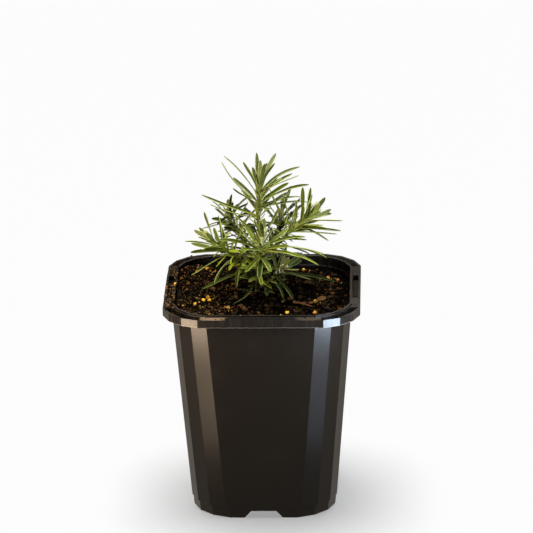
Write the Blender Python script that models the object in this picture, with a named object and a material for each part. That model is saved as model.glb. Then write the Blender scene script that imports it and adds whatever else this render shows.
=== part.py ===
"""A young curry plant in a square, facetted nursery pot.

The origin is the centre of the pot's foot, +Z is up and the photographed side faces -Y. Sizes are in
millimetres times MM, so the model is in metres. The pot, the potting mix, each leafy shoot, each
fertiliser prill and the twig are separate solids. A shoot is one body: its stem with its leaves grown
on to it. Touching pieces keep a gap of 0.3 mm.
"""

import math
import random

import bmesh
import bpy
from mathutils import Matrix, Vector

MM = 0.001
GAP = 0.3 * MM

# Pot: a square with each corner cut into three flat facets, tapering to its foot
WALL = 1.2 * MM
LIP_TOP = 114.0 * MM
LIP_WIDTH = 1.2 * MM
RIM_HALF = 50.0 * MM
RIM_FACET = 9.15 * MM
RIM_TOP = 113.1 * MM
SKIRT_BOTTOM = 108.9 * MM
BODY_TOP_HALF = 45.7 * MM
BODY_FACET = 8.9 * MM
BODY_TAPER = 0.078
FOOT_STEP = 6.0 * MM
FOOT_INSET = 0.4 * MM
FOOT_FACET = 9.6 * MM
FOOT_WALL = 1.8 * MM
RECESS = 3.8 * MM
FLOOR_TOP = 5.3 * MM
NOTCH_TOP = 12.8 * MM
NOTCH_BOTTOM = 19.6 * MM
PANEL_HALF = 17.8 * MM
PAD_END = 30.5 * MM
GUTTER_DEPTH = 2.8 * MM
DRAIN_RADIUS = 1.9 * MM
DRAIN_RING = 24.0 * MM

# Potting mix: slightly heaped in the middle and higher to the left, with bark chips fused to its top
SOIL_EDGE = 107.8 * MM
SOIL_LOWEST = 105.2 * MM
SOIL_HEAP = 0.9 * MM
SOIL_TILT = 0.05
SOIL_RIPPLE = 0.35 * MM
SOIL_RINGS = 7
CHIPS = 34
PRILL_RADIUS = 1.2 * MM
TWIG_RADIUS = 0.6 * MM
STEM_HOLE = 1.9 * MM
STEM_HOLE_FLOOR = 88.0 * MM

# Leaves: narrow and blunt, widest past the middle
LEAF_WIDTH = 2.3 * MM
LEAF_THICKNESS = 0.7 * MM
LEAF_STATIONS = ((0.0, 0.5), (0.3, 0.8), (0.72, 1.0), (1.0, 0.4))
GOLDEN_ANGLE = math.radians(137.5)
STEM_SIDES = 6

# Places on the mix as (x, y) in millimetres: fertiliser prills, the two largest chips and the twig's ends
PRILLS = (
    (-30, -14), (-28, -10), (-27, -14), (-40, -25), (-34, -20), (-30, 31), (-35, 26),
    (-17, -24), (27, -9), (33, 27), (38, 25), (27, -26), (20, 38), (13, -28),
)
LARGE_CHIPS = ((30, -3), (39, 2))
TWIG_FROM = (16, -13)
TWIG_TO = (26, -20)

# Each shoot: its stem's points and its leaves, in millimetres. A leaf is where it springs, as a share
# of the stem's length; x, y and z of its tip; how far it bows up in its middle; and, where it shows its
# flat side, how far it turns about its own length, in degrees.
MAIN_STEM = ((-3, 4, 89), (-3, 4, 107), (-3, 4, 125), (-2, 3, 140), (-2, 3, 153), (-1, 3, 167))
MAIN_LEAVES = (
    (0.91, -19, 1, 183, 1.4),
    (0.88, -20, -2, 181, -2.0),
    (0.94, -9, -5, 182, 0.7),
    (0.86, -14, -14, 171, 0.0),
    (0.94, -3, 19, 179, -1.0),
    (0.96, -1, 16, 176, 0.0),
    (0.97, 2, -8, 182, 0.0),
    (0.97, 7, 18, 179, 1.6),
    (0.95, 7, -7, 182, 1.6),
    (0.94, 19, 20, 171, 3.0),
    (0.91, 15, 24, 166, 1.8),
    (0.93, 19, -6, 175, 1.0),
    (0.89, 13, 27, 160, 0.0),
    (0.87, 24, 3, 167, 1.9),
    (0.96, 6, -10, 172, 0.0),
    (0.85, 20, 19, 155, 1.4),
    (0.84, 25, 21, 151, 1.8),
    (0.83, 5, -20, 162, 0.5),
    (0.79, -31, 5, 161, -0.6),
    (0.77, -26, -7, 160, -0.9),
    (0.30, -14, -19, 111, 2.5),
    (0.36, 37, 10, 112, 3.0),
)
RIGHT_STEM = ((-0.9, 4.6, 125), (4, 6, 131), (10, 7, 136), (14, 7, 141), (19, 7, 144), (24, 7, 149))
RIGHT_LEAVES = (
    (0.95, 32, 18, 155, 0.0, 40),
    (0.97, 29, 2, 157, 0.0),
    (0.96, 25, 3, 157, 0.0),
    (0.98, 35, 14, 150, -1.5),
    (0.92, 35, 22, 145, 1.0),
    (0.87, 41, -1, 149, 0.5),
    (0.74, 32, -6, 147, 0.5),
    (0.72, 40, 12, 139, 0.5),
    (0.60, 38, 1, 141, 0.5),
    (0.86, 21, -4, 168, 0.0),
    (0.83, 21, 1, 157, 0.0),
    (0.67, 11, -6, 165, 0.0),
    (0.58, 5, -8, 166, 1.0),
)
LEFT_STEM = ((-4.5, 2.7, 117), (-8, 0, 122), (-12, -3, 129), (-19, -5, 135), (-25, -6, 140))
LEFT_LEAVES = (
    (0.98, -29, -10, 157, 0.0, 70),
    (0.93, -28, -16, 148, 0.0),
    (0.97, -35, 5, 142, 0.0),
    (0.84, -25, 6, 143, 0.0),
    (0.83, -39, -12, 142, 0.7),
    (0.78, -30, -17, 139, 0.8),
    (0.72, -37, 2, 131, 0.8),
    (0.66, -36, -13, 124, 0.5),
    (0.53, -24, -20, 122, 2.0),
    (0.48, -20, 8, 122, 0.5),
    (0.38, -13, -15, 118, 1.7),
    (0.20, -31, -9, 115, 1.0),
)
FRONT_STEM = ((-3, 1.3, 114), (-2, -5, 122), (-1, -9, 129), (0, -13, 138), (1, -14, 145))
FRONT_LEAVES = (
    (0.92, 9, -20, 162, 0.3),
    (0.93, -3, -24, 158, 0.0),
    (0.97, 0, -20, 155, 0.0),
    (0.87, -14, -17, 159, 0.6),
    (0.83, -13, -21, 156, -1.5),
    (0.80, -10, -27, 151, -1.0),
    (0.78, -10, -29, 143, 0.5),
    (0.76, -22, -22, 146, 2.5),
    (0.64, -8, -31, 132, 1.0),
    (0.64, 5, -28, 131, 1.0),
    (0.60, -1, -30, 128, 1.5),
    (0.79, 14, -23, 143, 0.5),
    (0.82, 22, -6, 142, 2.0),
    (0.72, 20, -26, 138, 2.5),
    (0.72, 33, -10, 132, 3.5),
    (0.68, 32, -21, 138, 3.0),
    (0.64, 29, -26, 134, 3.0),
)
BACK_LEFT_STEM = ((-4.2, 5.6, 121), (-10, 14, 133), (-17, 19, 142), (-17, 20, 148))
BACK_LEFT_LEAVES = (
    (0.76, -27, 29, 140, 0.8),
    (0.71, -22, 31, 137, 0.5),
    (0.86, -13, 32, 147, 0.5),
    (0.77, -7, 30, 144, 1.0),
    (0.93, -19, 12, 151, 0.0),
    (0.67, -20, 10, 142, 0.0),
    (0.90, -26, 18, 153, 0.0),
    (0.50, -12, 30, 130, 1.0),
    (0.45, -24, 20, 126, 1.0),
)
BACK_RIGHT_STEM = ((-1.8, 5.8, 122), (3, 12, 131), (8, 16, 138), (10, 19, 148))
BACK_RIGHT_LEAVES = (
    (0.96, 10, 31, 151, 0.0),
    (0.73, 18, 33, 141, 1.5),
    (0.69, 1, 32, 145, 0.5),
    (0.85, 19, 29, 151, 0.5),
    (0.90, 3, 24, 158, 0.0),
    (0.55, 6, 34, 132, 1.0),
    (0.45, 22, 24, 130, 1.0),
    (0.95, 14, 22, 160, 0.0),
)
LOW_RIGHT_STEM = ((-1.6, 2.4, 112), (5, -6, 119), (10, -9, 126))
LOW_RIGHT_LEAVES = (
    (0.95, 14, -15, 134, 0.0),
    (0.90, 12, 3, 131, 0.0),
    (0.97, 19, -19, 129, 0.0),
    (0.91, 25, -20, 124, 0.6),
    (0.92, 20, 2, 127, 0.5),
    (0.75, 16, -27, 116, 0.5),
    (0.67, 11, -25, 116, 0.5),
)

# Each shoot's other leaves follow a rule: how many are drawn, the first one's bearing, the share of the
# stem where they start, and the least +Y part of the direction of those that are kept.
SHOOTS = (
    ("leading_shoot", MAIN_STEM, (1.4, 0.7), MAIN_LEAVES, (26, 58, 0.76, 0.3)),
    ("right_shoot", RIGHT_STEM, (1.1, 0.6), RIGHT_LEAVES, (14, 100, 0.6, 0.3)),
    ("left_shoot", LEFT_STEM, (1.1, 0.6), LEFT_LEAVES, (14, 70, 0.55, 0.3)),
    ("front_shoot", FRONT_STEM, (1.1, 0.6), FRONT_LEAVES, (10, 30, 0.7, 0.2)),
    ("back_left_shoot", BACK_LEFT_STEM, (1.0, 0.6), BACK_LEFT_LEAVES, (12, 120, 0.5, -0.3)),
    ("back_right_shoot", BACK_RIGHT_STEM, (1.0, 0.6), BACK_RIGHT_LEAVES, (12, 200, 0.5, -0.3)),
    ("low_right_shoot", LOW_RIGHT_STEM, (0.9, 0.6), LOW_RIGHT_LEAVES, (8, 0, 0.6, 0.1)),
)


def clear_scene():
    for obj in list(bpy.data.objects):
        bpy.data.objects.remove(obj)


def material(name, colour, roughness):
    made = bpy.data.materials.new(name)
    made.use_nodes = True
    shader = made.node_tree.nodes["Principled BSDF"]
    shader.inputs["Base Color"].default_value = (*colour, 1.0)
    shader.inputs["Roughness"].default_value = roughness
    shader.inputs["Metallic"].default_value = 0.0
    made.diffuse_color = (*colour, 1.0)
    return made


def add_object(name, bm, surface=None):
    """A new object that holds the bmesh, its faces turned outwards."""
    bmesh.ops.recalc_face_normals(bm, faces=bm.faces)
    mesh = bpy.data.meshes.new(name)
    bm.to_mesh(mesh)
    bm.free()
    obj = bpy.data.objects.new(name, mesh)
    bpy.context.scene.collection.objects.link(obj)
    if surface:
        obj.data.materials.append(surface)
    return obj


def apply_modifiers(obj):
    """Replaces the object's mesh by its evaluated one."""
    bpy.context.view_layer.update()
    graph = bpy.context.evaluated_depsgraph_get()
    mesh = bpy.data.meshes.new_from_object(obj.evaluated_get(graph))
    obj.modifiers.clear()
    obj.data = mesh


def combine(target, others, operation):
    """One Boolean of the target with all the others, applied; the others are then removed."""
    group = bpy.data.collections.new(target.name + "_tools")
    bpy.context.scene.collection.children.link(group)
    for other in others:
        bpy.context.scene.collection.objects.unlink(other)
        group.objects.link(other)
    boolean = target.modifiers.new(operation.title(), "BOOLEAN")
    boolean.operation = operation
    boolean.operand_type = "COLLECTION"
    boolean.collection = group
    apply_modifiers(target)
    for other in others:
        bpy.data.objects.remove(other)
    bpy.data.collections.remove(group)


def keep_largest_shell(obj):
    """Fills any hollow that the union sealed and drops loose scraps, by keeping the outer surface only."""
    bm = bmesh.new()
    bm.from_mesh(obj.data)
    left = set(bm.verts)
    shells = []
    while left:
        shell, edge = set(), [left.pop()]
        while edge:
            vert = edge.pop()
            shell.add(vert)
            near = {e.other_vert(vert) for e in vert.link_edges} & left
            left -= near
            edge.extend(near)
        shells.append(shell)
    shells.sort(key=len)
    for shell in shells[:-1]:
        bmesh.ops.delete(bm, geom=list(shell), context="VERTS")
    bm.to_mesh(obj.data)
    bm.free()


def outline(half, facet):
    """The 16 corners of a square of this half width whose corners are cut into three equal facets."""
    points = []
    for quarter in range(4):
        turn = quarter * math.pi / 2
        reach = sum(facet * math.sin(math.radians(22.5 * step)) for step in (1, 2, 3))
        x, y = half, half - reach
        corner = [(x, y)]
        for step in (1, 2, 3):
            x -= facet * math.sin(math.radians(22.5 * step))
            y += facet * math.cos(math.radians(22.5 * step))
            corner.append((x, y))
        for x, y in corner:
            points.append((x * math.cos(turn) - y * math.sin(turn), x * math.sin(turn) + y * math.cos(turn)))
    return points


def inner_facet(facet, inset):
    """A facet's length after the outline it belongs to is moved in by this much."""
    return facet - 2 * inset * math.tan(math.radians(11.25))


def add_ring(bm, points, z):
    return [bm.verts.new((x, y, z)) for x, y in points]


def bridge(bm, lower, upper):
    for i in range(len(lower)):
        j = (i + 1) % len(lower)
        bm.faces.new((lower[i], lower[j], upper[j], upper[i]))


def loft(rings):
    """A closed solid through rings of equally many points, flat at both ends."""
    bm = bmesh.new()
    loops = [add_ring(bm, points, z) for points, z in rings]
    for lower, upper in zip(loops, loops[1:]):
        bridge(bm, lower, upper)
    bm.faces.new(loops[0])
    bm.faces.new(loops[-1])
    return bm


def prism(name, points, bottom, top):
    return add_object(name, loft(((points, bottom), (points, top))))


def box(name, x_range, y_range, z_range):
    (x0, x1), (y0, y1) = x_range, y_range
    return prism(name, ((x0, y0), (x1, y0), (x1, y1), (x0, y1)), *z_range)


def turned(obj, quarter):
    """The object's mesh turned about the pot's axis by quarter turns."""
    obj.data.transform(Matrix.Rotation(quarter * math.pi / 2, 4, "Z"))
    return obj


def body_half(z):
    """Half the width of the pot's outside at this height."""
    return BODY_TOP_HALF - (SKIRT_BOTTOM + 4 * MM - z) * BODY_TAPER


def inside(z, clearance=0.0):
    """The outline of the pot's inner wall at this height, moved in by the clearance."""
    share = (z - FLOOR_TOP) / (LIP_TOP - FLOOR_TOP)
    low = body_half(FOOT_STEP) - FOOT_INSET - WALL
    high = BODY_TOP_HALF - LIP_WIDTH
    facet = inner_facet(FOOT_FACET + (BODY_FACET - FOOT_FACET) * share, WALL + clearance)
    return outline(low + (high - low) * share - clearance, facet)


def make_pot():
    foot_high = body_half(FOOT_STEP) - FOOT_INSET
    foot_low = body_half(0) - FOOT_INSET
    foot_inside = inner_facet(FOOT_FACET, FOOT_WALL)
    rings = (
        (outline(foot_low - FOOT_WALL, foot_inside), RECESS),
        (outline(foot_low - FOOT_WALL, foot_inside), 0),
        (outline(foot_low, FOOT_FACET), 0),
        (outline(foot_high, FOOT_FACET), FOOT_STEP - 0.4 * MM),
        (outline(body_half(FOOT_STEP), BODY_FACET), FOOT_STEP),
        (outline(body_half(SKIRT_BOTTOM), BODY_FACET), SKIRT_BOTTOM),
        (outline(RIM_HALF, RIM_FACET), SKIRT_BOTTOM),
        (outline(RIM_HALF, RIM_FACET), RIM_TOP),
        (outline(BODY_TOP_HALF, BODY_FACET), RIM_TOP),
        (outline(BODY_TOP_HALF, BODY_FACET), LIP_TOP),
        (inside(LIP_TOP), LIP_TOP),
        (inside(FLOOR_TOP), FLOOR_TOP),
    )
    pot = add_object("pot", loft(rings), material("pot black", (0.018, 0.016, 0.015), 0.35))
    panels = []
    for quarter in range(4):
        panel = box(
            "panel", (RIM_HALF - WALL, RIM_HALF), (-PANEL_HALF, PANEL_HALF), (RIM_TOP - 1 * MM, LIP_TOP)
        )
        panels.append(turned(panel, quarter))
    combine(pot, panels, "UNION")
    combine(pot, pot_cutters(), "DIFFERENCE")


def pot_cutters():
    """Rim gutters and pads, foot notches and drain holes."""
    near = BODY_TOP_HALF + 0.3 * MM
    far = RIM_HALF - WALL
    over = LIP_TOP + 1 * MM
    gutter_floor = RIM_TOP - GUTTER_DEPTH
    corner_outer = outline(far, inner_facet(RIM_FACET, WALL))[:4]
    corner_inner = outline(near, BODY_FACET)[:4]
    cut_back = near - (PAD_END - corner_inner[0][1]) * math.tan(math.radians(22.5))
    corner = [(far, PAD_END), *corner_outer, (PAD_END, far)]
    corner += [(PAD_END, cut_back), corner_inner[2], corner_inner[1], (cut_back, PAD_END)]
    cutters = []
    for quarter in range(4):
        middle = box("pocket", (near, far), (WALL - PANEL_HALF, PANEL_HALF - WALL), (gutter_floor, over))
        cutters.append(turned(middle, quarter))
        cutters.append(turned(prism("gutter", corner, gutter_floor, over), quarter))
        for side in (-1, 1):
            ends = sorted((side * (PANEL_HALF + 0.4 * MM), side * (PAD_END - WALL)))
            hollow = box("pad hollow", (near + 0.4 * MM, far), ends, (SKIRT_BOTTOM - 1 * MM, RIM_TOP - WALL))
            cutters.append(turned(hollow, quarter))
        cutters.append(turned(foot_notch(), quarter))
    for i in range(8):
        angle = (i + 0.5) * math.pi / 4
        cutters.append(drain(DRAIN_RING * math.cos(angle), DRAIN_RING * math.sin(angle)))
    cutters.append(drain(0, 0))
    return cutters


def foot_notch():
    """A trapezoid through the foot wall on the +X side."""
    low, high = NOTCH_BOTTOM / 2, NOTCH_TOP / 2
    below = 1 * MM
    slope = (low - high) / RECESS
    bm = bmesh.new()
    near, far = 30 * MM, 42 * MM
    profile = ((-low - slope * below, -below), (low + slope * below, -below), (high, RECESS), (-high, RECESS))
    inner = [bm.verts.new((near, y, z)) for y, z in profile]
    outer = [bm.verts.new((far, y, z)) for y, z in profile]
    bridge(bm, inner, outer)
    bm.faces.new(inner)
    bm.faces.new(outer)
    return add_object("notch", bm)


def drain(x, y):
    points = [
        (x + DRAIN_RADIUS * math.cos(i * math.pi / 4), y + DRAIN_RADIUS * math.sin(i * math.pi / 4))
        for i in range(8)
    ]
    return prism("drain", points, RECESS - 1 * MM, FLOOR_TOP + 1 * MM)


def soil_height(x, y):
    """The top of the mix: a low heap with ripples, rising to the left and most to the back left corner."""
    reach = min(1.0, math.hypot(x, y) / (44 * MM))
    corner = max(0.0, (y - x) / (60 * MM)) ** 2
    ripple = math.sin(x / (3.1 * MM) + 1.3) * math.cos(y / (2.7 * MM)) + 0.6 * math.sin((x + y) / (1.9 * MM))
    return SOIL_EDGE + SOIL_HEAP * (1 - reach**2) - SOIL_TILT * x + corner * MM + SOIL_RIPPLE * ripple


def make_potting_mix():
    bm = bmesh.new()
    bottom = add_ring(bm, inside(FLOOR_TOP + GAP, GAP), FLOOR_TOP + GAP)
    edge = inside(SOIL_LOWEST, GAP)
    rings = []
    for step in range(SOIL_RINGS):
        share = 1 - step / SOIL_RINGS
        rings.append([])
        for x, y in edge:
            x, y = x * share, y * share
            rings[-1].append(bm.verts.new((x, y, soil_height(x, y))))
    bm.faces.new(bottom)
    for lower, upper in zip([bottom, *rings], rings):
        bridge(bm, lower, upper)
    centre = bm.verts.new((0, 0, soil_height(0, 0)))
    for i in range(16):
        bm.faces.new((rings[-1][i], rings[-1][(i + 1) % 16], centre))
    mix = add_object("potting_mix", bm, material("bark mix", (0.035, 0.024, 0.017), 0.95))
    combine(mix, bark_chips(), "UNION")
    x, y, _ = MAIN_STEM[1]
    hole = [
        (x * MM + STEM_HOLE * math.cos(i * math.pi / 4), y * MM + STEM_HOLE * math.sin(i * math.pi / 4))
        for i in range(8)
    ]
    combine(mix, [prism("hole", hole, STEM_HOLE_FLOOR, LIP_TOP)], "DIFFERENCE")
    return mix


def bark_chips():
    """Flat splinters scattered over the mix, each half sunk in it and clear of the prills and the stem."""
    draw = random.Random(7)
    taken = [(x * MM, y * MM, 2.6 * MM) for x, y in PRILLS]
    taken.append((MAIN_STEM[1][0] * MM, MAIN_STEM[1][1] * MM, 4 * MM))
    middle = [(a + b) / 2 * MM for a, b in zip(TWIG_FROM, TWIG_TO)]
    taken.append((*middle, 7 * MM))
    chips = []
    for x, y in LARGE_CHIPS:
        taken.append((x * MM, y * MM, 3 * MM))
        chips.append(chip(x * MM, y * MM, 3.6 * MM, draw))
    while len(chips) < CHIPS:
        x, y = draw.uniform(-38, 38) * MM, draw.uniform(-38, 38) * MM
        size = draw.uniform(1.4, 2.8) * MM
        if abs(x) + abs(y) > 58 * MM or any(math.hypot(x - a, y - b) < size + away for a, b, away in taken):
            continue
        taken.append((x, y, size * 0.8))
        chips.append(chip(x, y, size, draw))
    return chips


def chip(x, y, size, draw):
    """A five-sided flake lying tilted on the mix."""
    bm = bmesh.new()
    bmesh.ops.create_cone(bm, cap_ends=True, segments=5, radius1=size, radius2=size * 0.7, depth=1.6 * MM)
    bmesh.ops.scale(bm, vec=(1, draw.uniform(0.45, 0.75), 1), verts=bm.verts)
    tilt = Matrix.Rotation(math.radians(draw.uniform(-14, 14)), 4, "X")
    turn = Matrix.Rotation(draw.uniform(0, 2 * math.pi), 4, "Z")
    place = Matrix.Translation((x, y, soil_height(x, y) + 0.15 * MM))
    bmesh.ops.transform(bm, matrix=place @ turn @ tilt, verts=bm.verts)
    return add_object("chip", bm)


def level(mix, x, y):
    """The height of the mix's top at this place."""
    _, place, _, _ = mix.ray_cast(Vector((x, y, LIP_TOP)), Vector((0, 0, -1)))
    return place.z


def make_prills(mix):
    """Coated fertiliser balls, each resting just over the mix."""
    shell = material("prill coating", (0.55, 0.27, 0.06), 0.4)
    for number, (x, y) in enumerate(PRILLS, start=1):
        bm = bmesh.new()
        bmesh.ops.create_icosphere(bm, subdivisions=1, radius=PRILL_RADIUS)
        prill = add_object(f"fertiliser_prill_{number}", bm, shell)
        x, y = x * MM, y * MM
        prill.location = (x, y, level(mix, x, y) + PRILL_RADIUS + GAP)


def make_twig(mix):
    """A thin bark splinter lying across the mix, its middle bent up."""
    start, end = Vector((*TWIG_FROM, 0)) * MM, Vector((*TWIG_TO, 0)) * MM
    points = [start.lerp(end, share) for share in (0, 0.5, 1)]
    top = max(level(mix, point.x, point.y) for point in points)
    for point in points:
        point.z = top + TWIG_RADIUS + GAP
    points[1].z += TWIG_RADIUS
    add_object("twig", tube(points, [TWIG_RADIUS] * 3, 5), material("twig", (0.16, 0.07, 0.04), 0.8))


def tube(points, radii, sides):
    """A closed tube through the points, with flat ends."""
    bm = bmesh.new()
    loops = []
    for i, point in enumerate(points):
        along = (points[min(i + 1, len(points) - 1)] - points[max(i - 1, 0)]).normalized()
        across = along.cross(Vector((0, 1, 0.3))).normalized()
        other = along.cross(across)
        loops.append([])
        for side in range(sides):
            angle = 2 * math.pi * side / sides
            offset = radii[i] * (math.cos(angle) * across + math.sin(angle) * other)
            loops[-1].append(bm.verts.new(point + offset))
    for lower, upper in zip(loops, loops[1:]):
        bridge(bm, lower, upper)
    bm.faces.new(loops[0])
    bm.faces.new(loops[-1])
    return bm


def on_stem(points, share):
    """The point at this share of the stem's length, and the stem's direction there."""
    lengths = [(b - a).length for a, b in zip(points, points[1:])]
    left = share * sum(lengths)
    for a, b, length in zip(points, points[1:], lengths):
        if left <= length + 1e-9:
            break
        left -= length
    return a.lerp(b, min(1.0, left / length)), (b - a).normalized()


def leaf(base, tip, bow, axis, width, twist):
    """A narrow blade from the stem to its tip. Its upper side faces the shoot's growing end."""
    reach = tip - base
    inward = axis - 0.25 * (reach - reach.dot(axis) * axis).normalized()
    upper = (inward - inward.dot(reach.normalized()) * reach.normalized()).normalized()
    control = base + reach / 2 + 2 * bow * upper
    bm = bmesh.new()
    loops = []
    for share, breadth in LEAF_STATIONS:
        point = (1 - share) ** 2 * base + 2 * share * (1 - share) * control + share**2 * tip
        along = ((1 - share) * (control - base) + share * (tip - control)).normalized()
        normal = (upper - upper.dot(along) * along).normalized()
        normal = Matrix.Rotation(twist * share, 3, along) @ normal
        across = along.cross(normal) * (width * breadth / 2)
        normal = normal * (LEAF_THICKNESS / 2)
        corners = (across + normal, normal - across, -across - normal, across - normal)
        loops.append([bm.verts.new(point + corner) for corner in corners])
    for lower, upper_loop in zip(loops, loops[1:]):
        bridge(bm, lower, upper_loop)
    bm.faces.new(loops[0])
    bm.faces.new(loops[-1])
    return add_object("leaf", bm)


def rule_leaves(points, rule, draw):
    """Leaves a golden angle apart up the stem, without those that point where the hand-set ones are."""
    count, start, lowest, least_y = rule
    found = []
    for i in range(count):
        share = lowest + (0.95 - lowest) * i / count
        base, axis = on_stem(points, share)
        first = axis.cross(Vector((0, 1, 0))).normalized()
        second = axis.cross(first)
        bearing = math.radians(start) + i * GOLDEN_ANGLE
        spread = math.radians(82 - 40 * i / count + draw.uniform(-6, 6))
        out = math.cos(bearing) * first + math.sin(bearing) * second
        direction = math.cos(spread) * axis + math.sin(spread) * out
        length = (23 - 8 * i / count + draw.uniform(-2, 2)) * MM
        if direction.y > least_y:
            found.append((base, base + length * direction, draw.uniform(-0.5, 1.5) * MM, axis))
    return found


def bud_leaves(points, draw):
    """Short young leaves standing close round the growing end."""
    found = []
    base, axis = on_stem(points, 0.99)
    first = axis.cross(Vector((0, 1, 0))).normalized()
    second = axis.cross(first)
    for i in range(5):
        bearing = i * GOLDEN_ANGLE
        spread = math.radians(16 + 5 * (i % 2))
        out = math.cos(bearing) * first + math.sin(bearing) * second
        direction = math.cos(spread) * axis + math.sin(spread) * out
        length = (7 + draw.uniform(0, 3)) * MM
        found.append((base, base + length * direction, -0.3 * MM, axis))
    return found


def make_shoot(name, stem, radii, leaves, rule, surface):
    """One stem with its leaves grown on to it."""
    draw = random.Random(name)
    points = [Vector(point) * MM for point in stem]
    thick, thin = radii
    steps = len(points) - 1
    widths = [(thick + (thin - thick) * i / steps) * MM for i in range(steps + 1)]
    shoot = add_object(name, tube(points, widths, STEM_SIDES), surface)
    blades = []
    for share, x, y, z, bow, *turn in leaves:
        base, axis = on_stem(points, share)
        twist = math.radians(sum(turn) + draw.uniform(-20, 20))
        blades.append(leaf(base, Vector((x, y, z)) * MM, bow * MM, axis, LEAF_WIDTH, twist))
    for base, tip, bow, axis in rule_leaves(points, rule, draw):
        blades.append(leaf(base, tip, bow, axis, LEAF_WIDTH, math.radians(draw.uniform(-20, 20))))
    for base, tip, bow, axis in bud_leaves(points, draw):
        blades.append(leaf(base, tip, bow, axis, LEAF_WIDTH * 0.7, 0))
    combine(shoot, blades, "UNION")
    keep_largest_shell(shoot)


clear_scene()
make_pot()
soil = make_potting_mix()
make_prills(soil)
make_twig(soil)
foliage = material("leaf green", (0.17, 0.24, 0.07), 0.6)
for shoot_values in SHOOTS:
    make_shoot(*shoot_values, foliage)
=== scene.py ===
"""The finished look of a young curry plant in a square nursery pot.

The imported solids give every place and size. Around them this scene dresses the moulded pot, the bark mix
with its crumbs and chips, the fertiliser prills, the twig and the leafy shoots. Lengths are millimetres
times MM, so the scene is in metres, as the solids are.
"""

import math
import random

import bpy
import numpy as np
from mathutils import Matrix, Vector, noise


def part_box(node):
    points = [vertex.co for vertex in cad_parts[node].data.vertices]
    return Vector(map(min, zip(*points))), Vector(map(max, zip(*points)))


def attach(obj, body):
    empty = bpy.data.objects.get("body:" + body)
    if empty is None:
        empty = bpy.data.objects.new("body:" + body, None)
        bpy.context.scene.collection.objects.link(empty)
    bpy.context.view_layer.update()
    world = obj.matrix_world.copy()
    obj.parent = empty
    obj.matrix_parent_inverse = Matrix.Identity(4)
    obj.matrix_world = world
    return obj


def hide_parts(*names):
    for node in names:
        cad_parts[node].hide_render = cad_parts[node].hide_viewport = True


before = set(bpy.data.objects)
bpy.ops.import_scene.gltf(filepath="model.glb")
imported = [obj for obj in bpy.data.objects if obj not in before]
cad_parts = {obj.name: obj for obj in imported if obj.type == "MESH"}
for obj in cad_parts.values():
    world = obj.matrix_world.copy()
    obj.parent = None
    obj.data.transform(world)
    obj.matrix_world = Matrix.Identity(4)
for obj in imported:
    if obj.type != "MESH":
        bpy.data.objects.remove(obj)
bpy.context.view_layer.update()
MM = 0.001

# The view: a long lens two metres away that looks down on the plant by about 20 degrees. The focal length
# is in pixels of the picture, which is square.
PICTURE_SIDE = 533
FOCAL_PIXELS = 4085.2
SENSOR_MM = 36
CAMERA_AIM = Vector((1.92, 0.06, 123.92)) * MM
CAMERA_REACH = 2091.1 * MM
CAMERA_DIP = math.radians(19.637)
CAMERA_TURN = math.radians(1.81)
CAMERA_ROLL = math.radians(-0.77)

bpy.ops.object.camera_add()
camera = bpy.context.object
camera.name = "camera"
turned = Matrix.Rotation(CAMERA_TURN, 3, "Z") @ Matrix.Rotation(math.pi / 2 - CAMERA_DIP, 3, "X")
turned = turned @ Matrix.Rotation(CAMERA_ROLL, 3, "Z")
camera.rotation_euler = turned.to_euler()
camera.location = CAMERA_AIM + turned @ Vector((0, 0, CAMERA_REACH))
camera.data.sensor_width = SENSOR_MM
camera.data.lens = FOCAL_PIXELS / PICTURE_SIDE * SENSOR_MM
camera.data.clip_start = 0.1
camera.data.clip_end = 20
bpy.context.scene.camera = camera

# The studio: a plain pale table that runs into a pale backdrop, in a dim even room under a wide ceiling
# light. A warm softbox on the left and a cooler one on the right model the plant, and low strip lights give
# the pot its gloss. These light the part alone, so the table stays even. In the pot's gloss the table is a
# warmer and dimmer sheet, as if brown cards lay round the foot.
FLOOR_SIDE = 12
FLOOR_COLOUR = (0.6, 0.6, 0.6)
CARD_GLOW = (0.72, 0.65, 0.555)
BACKDROP_RADIUS = 5.8
BACKDROP_GLOW = (0.95, 0.95, 0.947)
ROOM_LIGHT = 0.05
CEILING_LIGHT = 3.12
CEILING_SPREAD = math.radians(38)
CEILING_TILT = (math.radians(-6), math.radians(-2), 0)
TABLE_LIGHT = 1.88
WARM = (1.0, 0.87, 0.7)
COOL = (0.86, 0.93, 1.0)
AMBER = (1.0, 0.76, 0.53)
BLUE = (0.74, 0.88, 1.08)


def add_node(tree, kind, inputs, **settings):
    """A shader node with these settings. Each input is set to a value or joined to another node's socket."""
    made = tree.nodes.new("ShaderNode" + kind)
    for key, value in settings.items():
        setattr(made, key, value)
    for key, value in inputs.items():
        if isinstance(value, bpy.types.NodeSocket):
            tree.links.new(value, made.inputs[key])
        else:
            made.inputs[key].default_value = value
    return made


def new_finish(name, **sockets):
    """A material, its node tree and its shader, with these values on the shader's sockets."""
    made = bpy.data.materials.new(name)
    made.use_nodes = True
    shader = made.node_tree.nodes["Principled BSDF"]
    for key, value in sockets.items():
        shader.inputs[key.replace("_", " ")].default_value = value
    return made, made.node_tree, shader


def blend(tree, factor, *pair):
    """The colour that lies between two colours or sockets by this factor."""
    first, second = [(*colour, 1) if isinstance(colour, tuple) else colour for colour in pair]
    return add_node(tree, "Mix", {0: factor, 6: first, 7: second}, data_type="RGBA").outputs[2]


def stage_piece(name, finish, hidden_from):
    """Names and finishes the new object as a piece of the set that these kinds of ray don't see."""
    made = bpy.context.object
    made.name = name
    made.data.materials.append(finish)
    for ray in hidden_from:
        setattr(made, "visible_" + ray, False)
    return made


def glowing(name, colour):
    """A black finish that gives off this colour evenly."""
    light = {"Emission_Color": (*colour, 1), "Emission_Strength": 1.0}
    return new_finish(name, Base_Color=(0, 0, 0, 1), Specular_IOR_Level=0.0, **light)[0]


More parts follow.
